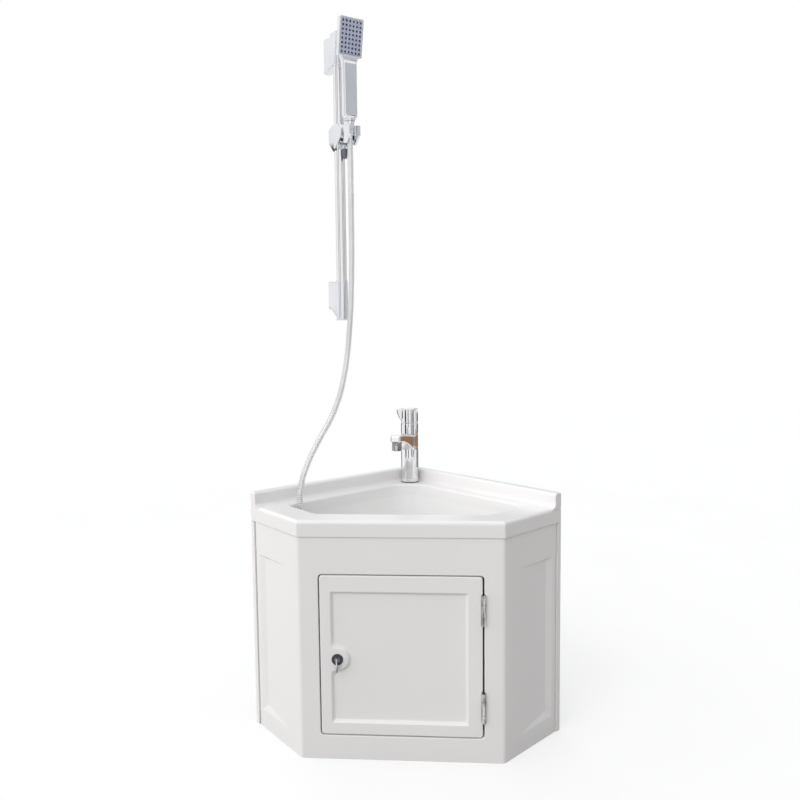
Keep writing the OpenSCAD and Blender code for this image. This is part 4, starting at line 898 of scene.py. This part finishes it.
def add_hand_shower():
    """Handle and head, the spray face with 6 × 8 nozzles in seats, and the hose's top nut."""
    handle = shower_handle()
    face = HEAD @ shift(0, 0, HEAD_H / 2) @ turn(-90, "X")
    w, h, t = HEAD_W / 2, HEAD_H / 2, HEAD_T / 2
    rings = [box_ring(w - 3 * i, h - 3 * i, 4 - 2 * i, -t + 3 * rise) for i, rise in EASE]
    rings += [box_ring(w - 1.4 * i, h - 1.4 * i, 4 - i, t - 1.4 * rise) for i, rise in reversed(EASE)]
    rings += [box_ring(w - 3.6, h - 4.4, 3, t), box_ring(w - 4, h - 4.8, 2.8, t - 0.4),
              box_ring(w - 4, h - 5, 2.8, t - 1.6)]
    head = capped("shower_head", rings, face)
    assemble("hand_shower_shell", [handle, head], 40, "handset", "plated_plastic", "hand_shower")
    rings = [box_ring(w - 4.1 - 0.7 * i, h - 5.1 - 0.7 * i, 2.7, t - 0.1 - 0.7 * rise)
             for i, rise in reversed(EASE)]
    plate = lofted("shower_plate", rings, face, last_cap=True)
    seat = [(0, 0.25), (2.5, 0.25), (3.2, -0.1), (3.2, -0.4), (0, -0.4)]
    nib = [(0, 0.9), (1.7, 0.9), (2.2, 0.6), (2.5, 0.2), (0, 0.2)]
    spots = [face @ shift((i - 2.5) * (HEAD_W - 16) / 5, (j - 3.5) * (HEAD_H - 18) / 7, t)
             for i in range(6) for j in range(8)]
    seats = [turned("seat", spot, seat, sides=20) for spot in spots]
    nibs = [turned("nib", spot, nib, sides=16) for spot in spots]
    assemble("shower_plate_shell", [plate, *seats], 40, "handset", "spray_plate", "spray_face")
    dress(joined("shower_nozzles", nibs), "handset", "dark_plastic", "spray_nozzles")
    nut = turned("hose_cone", SHOWER, [
        (0, HOSE_TOP), (8.4, HOSE_TOP), (9, 1379.4), (9.2, 1383), (8.8, 1383.6), (8.8, 1384.6),
        (9.3, 1385.2), (11, 1409.6), (7, 1409.9), (7, 1422), (0, 1422)],
        [0, 0.5, 0.5, 0.2, 0.2, 0.2, 0.3, 0.5, 0.1, 0.3, 0], 4, 72)
    dress(sharpened(nut), "handset", "chrome", "hose_top_nut")


add_rail()
add_slider()
add_holder()
add_hand_shower()


# ---------- rounded copies of the small CAD parts ----------

def softened(node, width):
    """A copy of a CAD node with its edges rounded, which stands for the node."""
    source = frame["nodes"][node]
    obj = add_object(node + "_soft", source.data.copy())
    limit = radians(28)
    with edited(obj.data) as bm:
        bmesh.ops.remove_doubles(bm, verts=bm.verts, dist=1e-5)
        bmesh.ops.dissolve_limit(bm, angle_limit=radians(0.4), verts=bm.verts, edges=bm.edges)
        bmesh.ops.recalc_face_normals(bm, faces=bm.faces)
        smooth_faces(bm)
        for edge in bm.edges:
            edge.smooth = edge.calc_face_angle(0) < limit
    bevel = obj.modifiers.new("soft_edges", "BEVEL")
    bevel.width = width * MM
    bevel.segments = 3
    bevel.limit_method = "ANGLE"
    bevel.angle_limit = limit
    obj.modifiers.new("even_shading", "WEIGHTED_NORMAL").keep_sharp = True
    return dress(obj, source["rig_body"], slots[node], node)


slots = {s["node"]: s["material_slot"] for s in frame["record"]["subparts"]}
widths = {"lock_body": 0.7, "lock_plug": 0.4, "lock_key": 0.5, "hose_grommet": 0.8}
widths |= {f"{place}_{side}_leaf": 0.25 for place in ("upper", "lower") for side in ("frame", "door")}
for node, width in widths.items():
    softened(node, width)


# ---------- materials ----------

WHITE = (1, 1, 1, 1)


class Nodes:
    """Short calls for building the nodes of a material or of the world."""

    def __init__(self, owner):
        owner.use_nodes = True
        self.owner, self.tree = owner, owner.node_tree
        self.tree.nodes.clear()
        self.place = self.add("ShaderNodeTexCoord").outputs

    def add(self, kind, inputs=(), **settings):
        node = self.tree.nodes.new(kind)
        for key, value in settings.items():
            setattr(node, key, value)
        for key, value in dict(inputs).items():
            if isinstance(value, bpy.types.NodeSocket):
                self.tree.links.new(value, node.inputs[key])
            else:
                node.inputs[key].default_value = value
        return node

    def noise(self, scale, detail=3, stretch=None):
        vector = self.place["Object"]
        if stretch:
            vector = self.add("ShaderNodeMapping", {"Vector": vector, "Scale": stretch}).outputs[0]
        inputs = {"Vector": vector, "Scale": scale, "Detail": detail}
        return self.add("ShaderNodeTexNoise", inputs).outputs["Fac"]

    def ranged(self, value, low, high):
        return self.add("ShaderNodeMapRange", {"Value": value, "To Min": low, "To Max": high}).outputs[0]

    def mixed(self, kind, share, a, b):
        """A mix of two numbers or two colours, whose sockets are numbered by the kind."""
        first, out = {"FLOAT": (2, 0), "RGBA": (6, 2)}[kind]
        return self.add("ShaderNodeMix", {0: share, first: a, first + 1: b}, data_type=kind).outputs[out]

    def ramp(self, value, stops):
        node = self.add("ShaderNodeValToRGB", {"Fac": value})
        elements = node.color_ramp.elements
        while len(elements) < len(stops):
            elements.new(0.5)
        for element, (at, colour) in zip(elements, stops):
            element.position = at
            element.color = (*colour, 1)
        return node.outputs["Color"]

    def math(self, operation, a, b):
        return self.add("ShaderNodeMath", {0: a, 1: b}, operation=operation).outputs[0]

    def seen(self):
        """1 for the rays that the background is seen by, straight or in metal and glass."""
        path = self.add("ShaderNodeLightPath").outputs
        seen = self.math("MAXIMUM", path["Is Camera Ray"], path["Is Glossy Ray"])
        return self.math("MAXIMUM", seen, path["Is Transmission Ray"])

    def surface(self, **values):
        """A surface shader with these values, given as constants or as sockets."""
        inputs = {key.replace("_", " "): value for key, value in values.items()}
        shader = self.add("ShaderNodeBsdfPrincipled", inputs)
        self.tree.links.new(shader.outputs[0], self.add("ShaderNodeOutputMaterial").inputs[0])
        return self.owner

    def bump(self, height, strength, distance):
        inputs = {"Height": height, "Strength": strength, "Distance": distance}
        return self.add("ShaderNodeBump", inputs).outputs["Normal"]


def moulding_material():
    n = Nodes(bpy.data.materials.new("white_moulding"))
    colour = n.ramp(n.noise(2.5, 2), [(0.3, (0.845, 0.838, 0.832)), (0.7, (0.86, 0.854, 0.848))])
    return n.surface(Base_Color=colour, Roughness=n.ranged(n.noise(12, 2), 0.26, 0.32),
                     Normal=n.bump(n.noise(90, 2), 0.12, 0.00012))


def metal(name, dark, light, rough, grain=0.05, scale=90, stretch=None, patches=9):
    """Metal between two colours in patches, with a grain that may be stretched."""
    n = Nodes(bpy.data.materials.new(name))
    grainy = n.noise(scale, 4, stretch)
    colour = n.ramp(n.noise(patches, 3, stretch), [(0.35, dark), (0.65, light)])
    return n.surface(Base_Color=colour, Metallic=1.0, Roughness=n.ranged(grainy, *rough),
                     Normal=n.bump(grainy, grain, 0.0001))


def plastic(name, dark, light, rough, bump=0.08, scale=260):
    n = Nodes(bpy.data.materials.new(name))
    colour = n.ramp(n.noise(25, 3), [(0.35, dark), (0.65, light)])
    return n.surface(Base_Color=colour, Roughness=n.ranged(n.noise(70, 3), *rough),
                     Normal=n.bump(n.noise(scale, 3), bump, 0.0002))


def grey(level):
    return (level, level, level)


# One finish for each slot, and two that only some pieces take
MATERIALS = {
    "moulding": moulding_material(),
    "chrome": metal("chrome", (0.80, 0.80, 0.81), (0.86, 0.86, 0.87), (0.03, 0.08), 0.03, 40),
    "plated_plastic": metal("plated_plastic", (0.74, 0.76, 0.79), (0.82, 0.83, 0.86), (0.07, 0.13), 0.04, 40),
    "steel": metal("hinge_steel", grey(0.13), (0.66, 0.66, 0.65), (0.16, 0.3), 0.12, 260, (1, 1, 0.12), 260),
    "knob_metal": metal("knob_metal", (0.14, 0.14, 0.17), (0.28, 0.28, 0.32), (0.08, 0.16), 0.04, 40),
    "dark_steel": metal("lock_steel", (0.10, 0.10, 0.11), (0.20, 0.20, 0.22), (0.2, 0.34), 0.1),
    "hose_steel": metal("hose_steel", grey(0.80), grey(0.88), (0.14, 0.24), 0.05, 200),
    "dark_plastic": plastic("dark_plastic", (0.02, 0.02, 0.03), (0.035, 0.035, 0.05), (0.25, 0.4)),
    "rubber": plastic("rubber", (0.02, 0.02, 0.022), (0.035, 0.035, 0.038), (0.55, 0.75), 0.2),
    "grey_plastic": plastic("grey_plastic", (0.72, 0.73, 0.74), (0.78, 0.79, 0.8), (0.35, 0.5)),
    "brass": metal("brass", (0.62, 0.45, 0.2), (0.72, 0.55, 0.28), (0.2, 0.34), 0.06),
    "spray_plate": plastic("spray_plate", (0.54, 0.59, 0.78), (0.60, 0.65, 0.84), (0.22, 0.34)),
}
LOOKS = {"lock_plug_soft": "dark_steel", "lock_key_soft": "steel", "tap_outlet_shell": "steel",
         "knob_shell": "knob_metal"}
for node, obj in frame["nodes"].items():
    obj.data.materials.clear()
    obj.data.materials.append(MATERIALS[slots[node]])
for obj, slot in pieces:
    obj.data.materials.clear()
    obj.data.materials.append(MATERIALS[LOOKS.get(obj.name, slot)])
    obj.data.polygons.foreach_set("material_index", [0] * len(obj.data.polygons))


# ---------- floor, light and background ----------

# The floor: its half size, its height, its shade as the object is lit by it, and the share of plain white
# that the camera sees in it, which leaves the object's shadow visible
FLOOR_HALF, FLOOR_Z, FLOOR_SHADE, WHITE_SHARE = 8000, -0.5, (0.30, 0.288, 0.28, 1), 0.55


def add_floor():
    n = Nodes(bpy.data.materials.new("floor"))
    pale = n.ramp(n.noise(3, 2), [(0.3, grey(0.97)), (0.7, grey(1.0))])
    n.surface(Base_Color=n.mixed("RGBA", n.seen(), FLOOR_SHADE, pale), Roughness=0.9)
    matt = n.tree.nodes["Principled BSDF"].outputs[0]
    white = n.add("ShaderNodeEmission", {"Color": WHITE, "Strength": 1.0}).outputs[0]
    share = n.math("MULTIPLY", n.add("ShaderNodeLightPath").outputs["Is Camera Ray"], WHITE_SHARE)
    both = n.add("ShaderNodeMixShader", {0: share, 1: matt, 2: white})
    n.tree.links.new(both.outputs[0], n.tree.nodes["Material Output"].inputs[0])
    across = (-FLOOR_HALF, 0, FLOOR_HALF)
    rings = [[(x, y, FLOOR_Z) for x in across] for y in across]
    ground = facing(lofted("floor", rings, closed=False), (0, 0, 1))
    ground.data.materials.append(n.owner)


# The cards stand on a circle round the unit. Their directions are counted from the camera's.
CARD_R, CARD_COLUMNS, CAMERA_BEARING = 2700, 24, -86


def add_card(name, first, last, heights, colour):
    """A standing card that only the metal shows, between two directions in degrees and two heights."""
    n = Nodes(bpy.data.materials.new(name))
    dark = tuple(0.92 * c for c in colour)
    n.surface(Base_Color=n.ramp(n.noise(1.5, 2), [(0.3, dark), (0.7, colour)]), Roughness=0.8)
    angles = [radians(CAMERA_BEARING + mix(first, last, k / CARD_COLUMNS)) for k in range(CARD_COLUMNS + 1)]
    rings = [[(CARD_R * cos(a), CARD_R * sin(a), z) for a in angles]
             for z in (heights[0], sum(heights) / 2, heights[1])]
    card = lofted(name, rings, closed=False)
    card.data.materials.append(n.owner)
    card.visible_camera = card.visible_diffuse = card.visible_transmission = card.visible_shadow = False


def add_light(name, way, strength, spread):
    """A soft, distant lamp that shines along a direction."""
    data = bpy.data.lights.new(name, "SUN")
    data.energy = strength
    data.angle = radians(spread)
    light = bpy.data.objects.new(name, data)
    light.rotation_euler = Vector(way).to_track_quat("-Z", "Y").to_euler()
    light.location = -Vector(way) * 3
    scene.collection.objects.link(light)


# The daylight's level: even at BASE, more from above, and more along SIDEWAYS near the horizon
BASE, ABOVE, SIDEWAYS, LEAST = 0.61, 0.50, (-1.75, -0.85, 0), 0.02
TINTS = [(0.0, (1.0, 0.955, 0.945)), (0.4, (0.985, 0.98, 0.98)), (1.0, (0.95, 0.975, 1.0))]


def add_world():
    """White where it is seen, and soft daylight, stronger from the left, where it lights."""
    scene.world = bpy.data.worlds.new("studio")
    n = Nodes(scene.world)
    way = n.place["Generated"]
    height = n.add("ShaderNodeSeparateXYZ", {0: way}).outputs["Z"]
    across = n.add("ShaderNodeVectorMath", {0: way, 1: SIDEWAYS}, operation="DOT_PRODUCT").outputs["Value"]
    level = n.math("MULTIPLY", across, n.math("POWER", n.math("SUBTRACT", 1.0, height), 2.0))
    level = n.math("ADD", level, n.math("ADD", n.math("MULTIPLY", height, ABOVE), BASE))
    level = n.math("MAXIMUM", level, LEAST)
    colour = n.mixed("RGBA", n.seen(), n.ramp(height, TINTS), WHITE)
    strength = n.mixed("FLOAT", n.seen(), level, 1.0)
    shade = n.add("ShaderNodeBackground", {"Color": colour, "Strength": strength})
    n.tree.links.new(shade.outputs[0], n.add("ShaderNodeOutputWorld").inputs[0])


add_floor()
add_world()
add_light("key", (0.4, 0.55, -0.75), 0.4, 30)
BLACK, DARK, GREY, PALE = (0.02, 0.02, 0.022), (0.06, 0.06, 0.07), (0.28, 0.28, 0.29), (0.72, 0.745, 0.78)
TAP_HIGH, RAIL_HIGH = (-50, 470), (1060, 3900)
# What the tap, the slider and the rail show, each at the heights that it reflects
for name, first, last, heights, colour in [
    ("tap_line_right", 20, 30, TAP_HIGH, BLACK), ("tap_grey", 40, 64, TAP_HIGH, GREY),
    ("tap_line_side", 100, 112, TAP_HIGH, DARK), ("tap_gold", 82, 97, (230, 345), (0.75, 0.5, 0.26)),
    ("tap_brown", 114, 160, (236, 340), (0.34, 0.19, 0.10)),
    ("tap_edge_low", 124, 178, (-50, 234), BLACK), ("tap_edge_high", 124, 178, (342, 470), BLACK),
    ("tap_edge_back", 162, 178, (236, 340), BLACK), ("tap_middle", -24, -14, TAP_HIGH, DARK),
    ("tap_line_left", -70, -46, TAP_HIGH, DARK), ("tap_edge_left", -172, -136, TAP_HIGH, BLACK),
    ("slider_left", -112, -88, (520, 1050), (0.14, 0.14, 0.155)),
    ("slider_right", 58, 96, (480, 1050), (0.10, 0.10, 0.115)),
    ("rail_grey", 30, 49, RAIL_HIGH, PALE), ("rail_line_right", 50, 58, RAIL_HIGH, DARK),
    ("rail_grey_side", 66, 82, RAIL_HIGH, (0.55, 0.57, 0.6)),
    ("rail_brown", 83, 92, RAIL_HIGH, (0.20, 0.13, 0.09)), ("rail_line_side", 112, 126, RAIL_HIGH, DARK),
    ("rail_middle", -33, -24, RAIL_HIGH, grey(0.5)), ("rail_line_left", -62, -54, RAIL_HIGH, GREY),
    ("rail_edge_left", -168, -148, RAIL_HIGH, GREY), ("rail_edge_right", 150, 172, RAIL_HIGH, DARK),
]:
    add_card(name, first, last, heights, colour)
scene.view_settings.view_transform = "Standard"
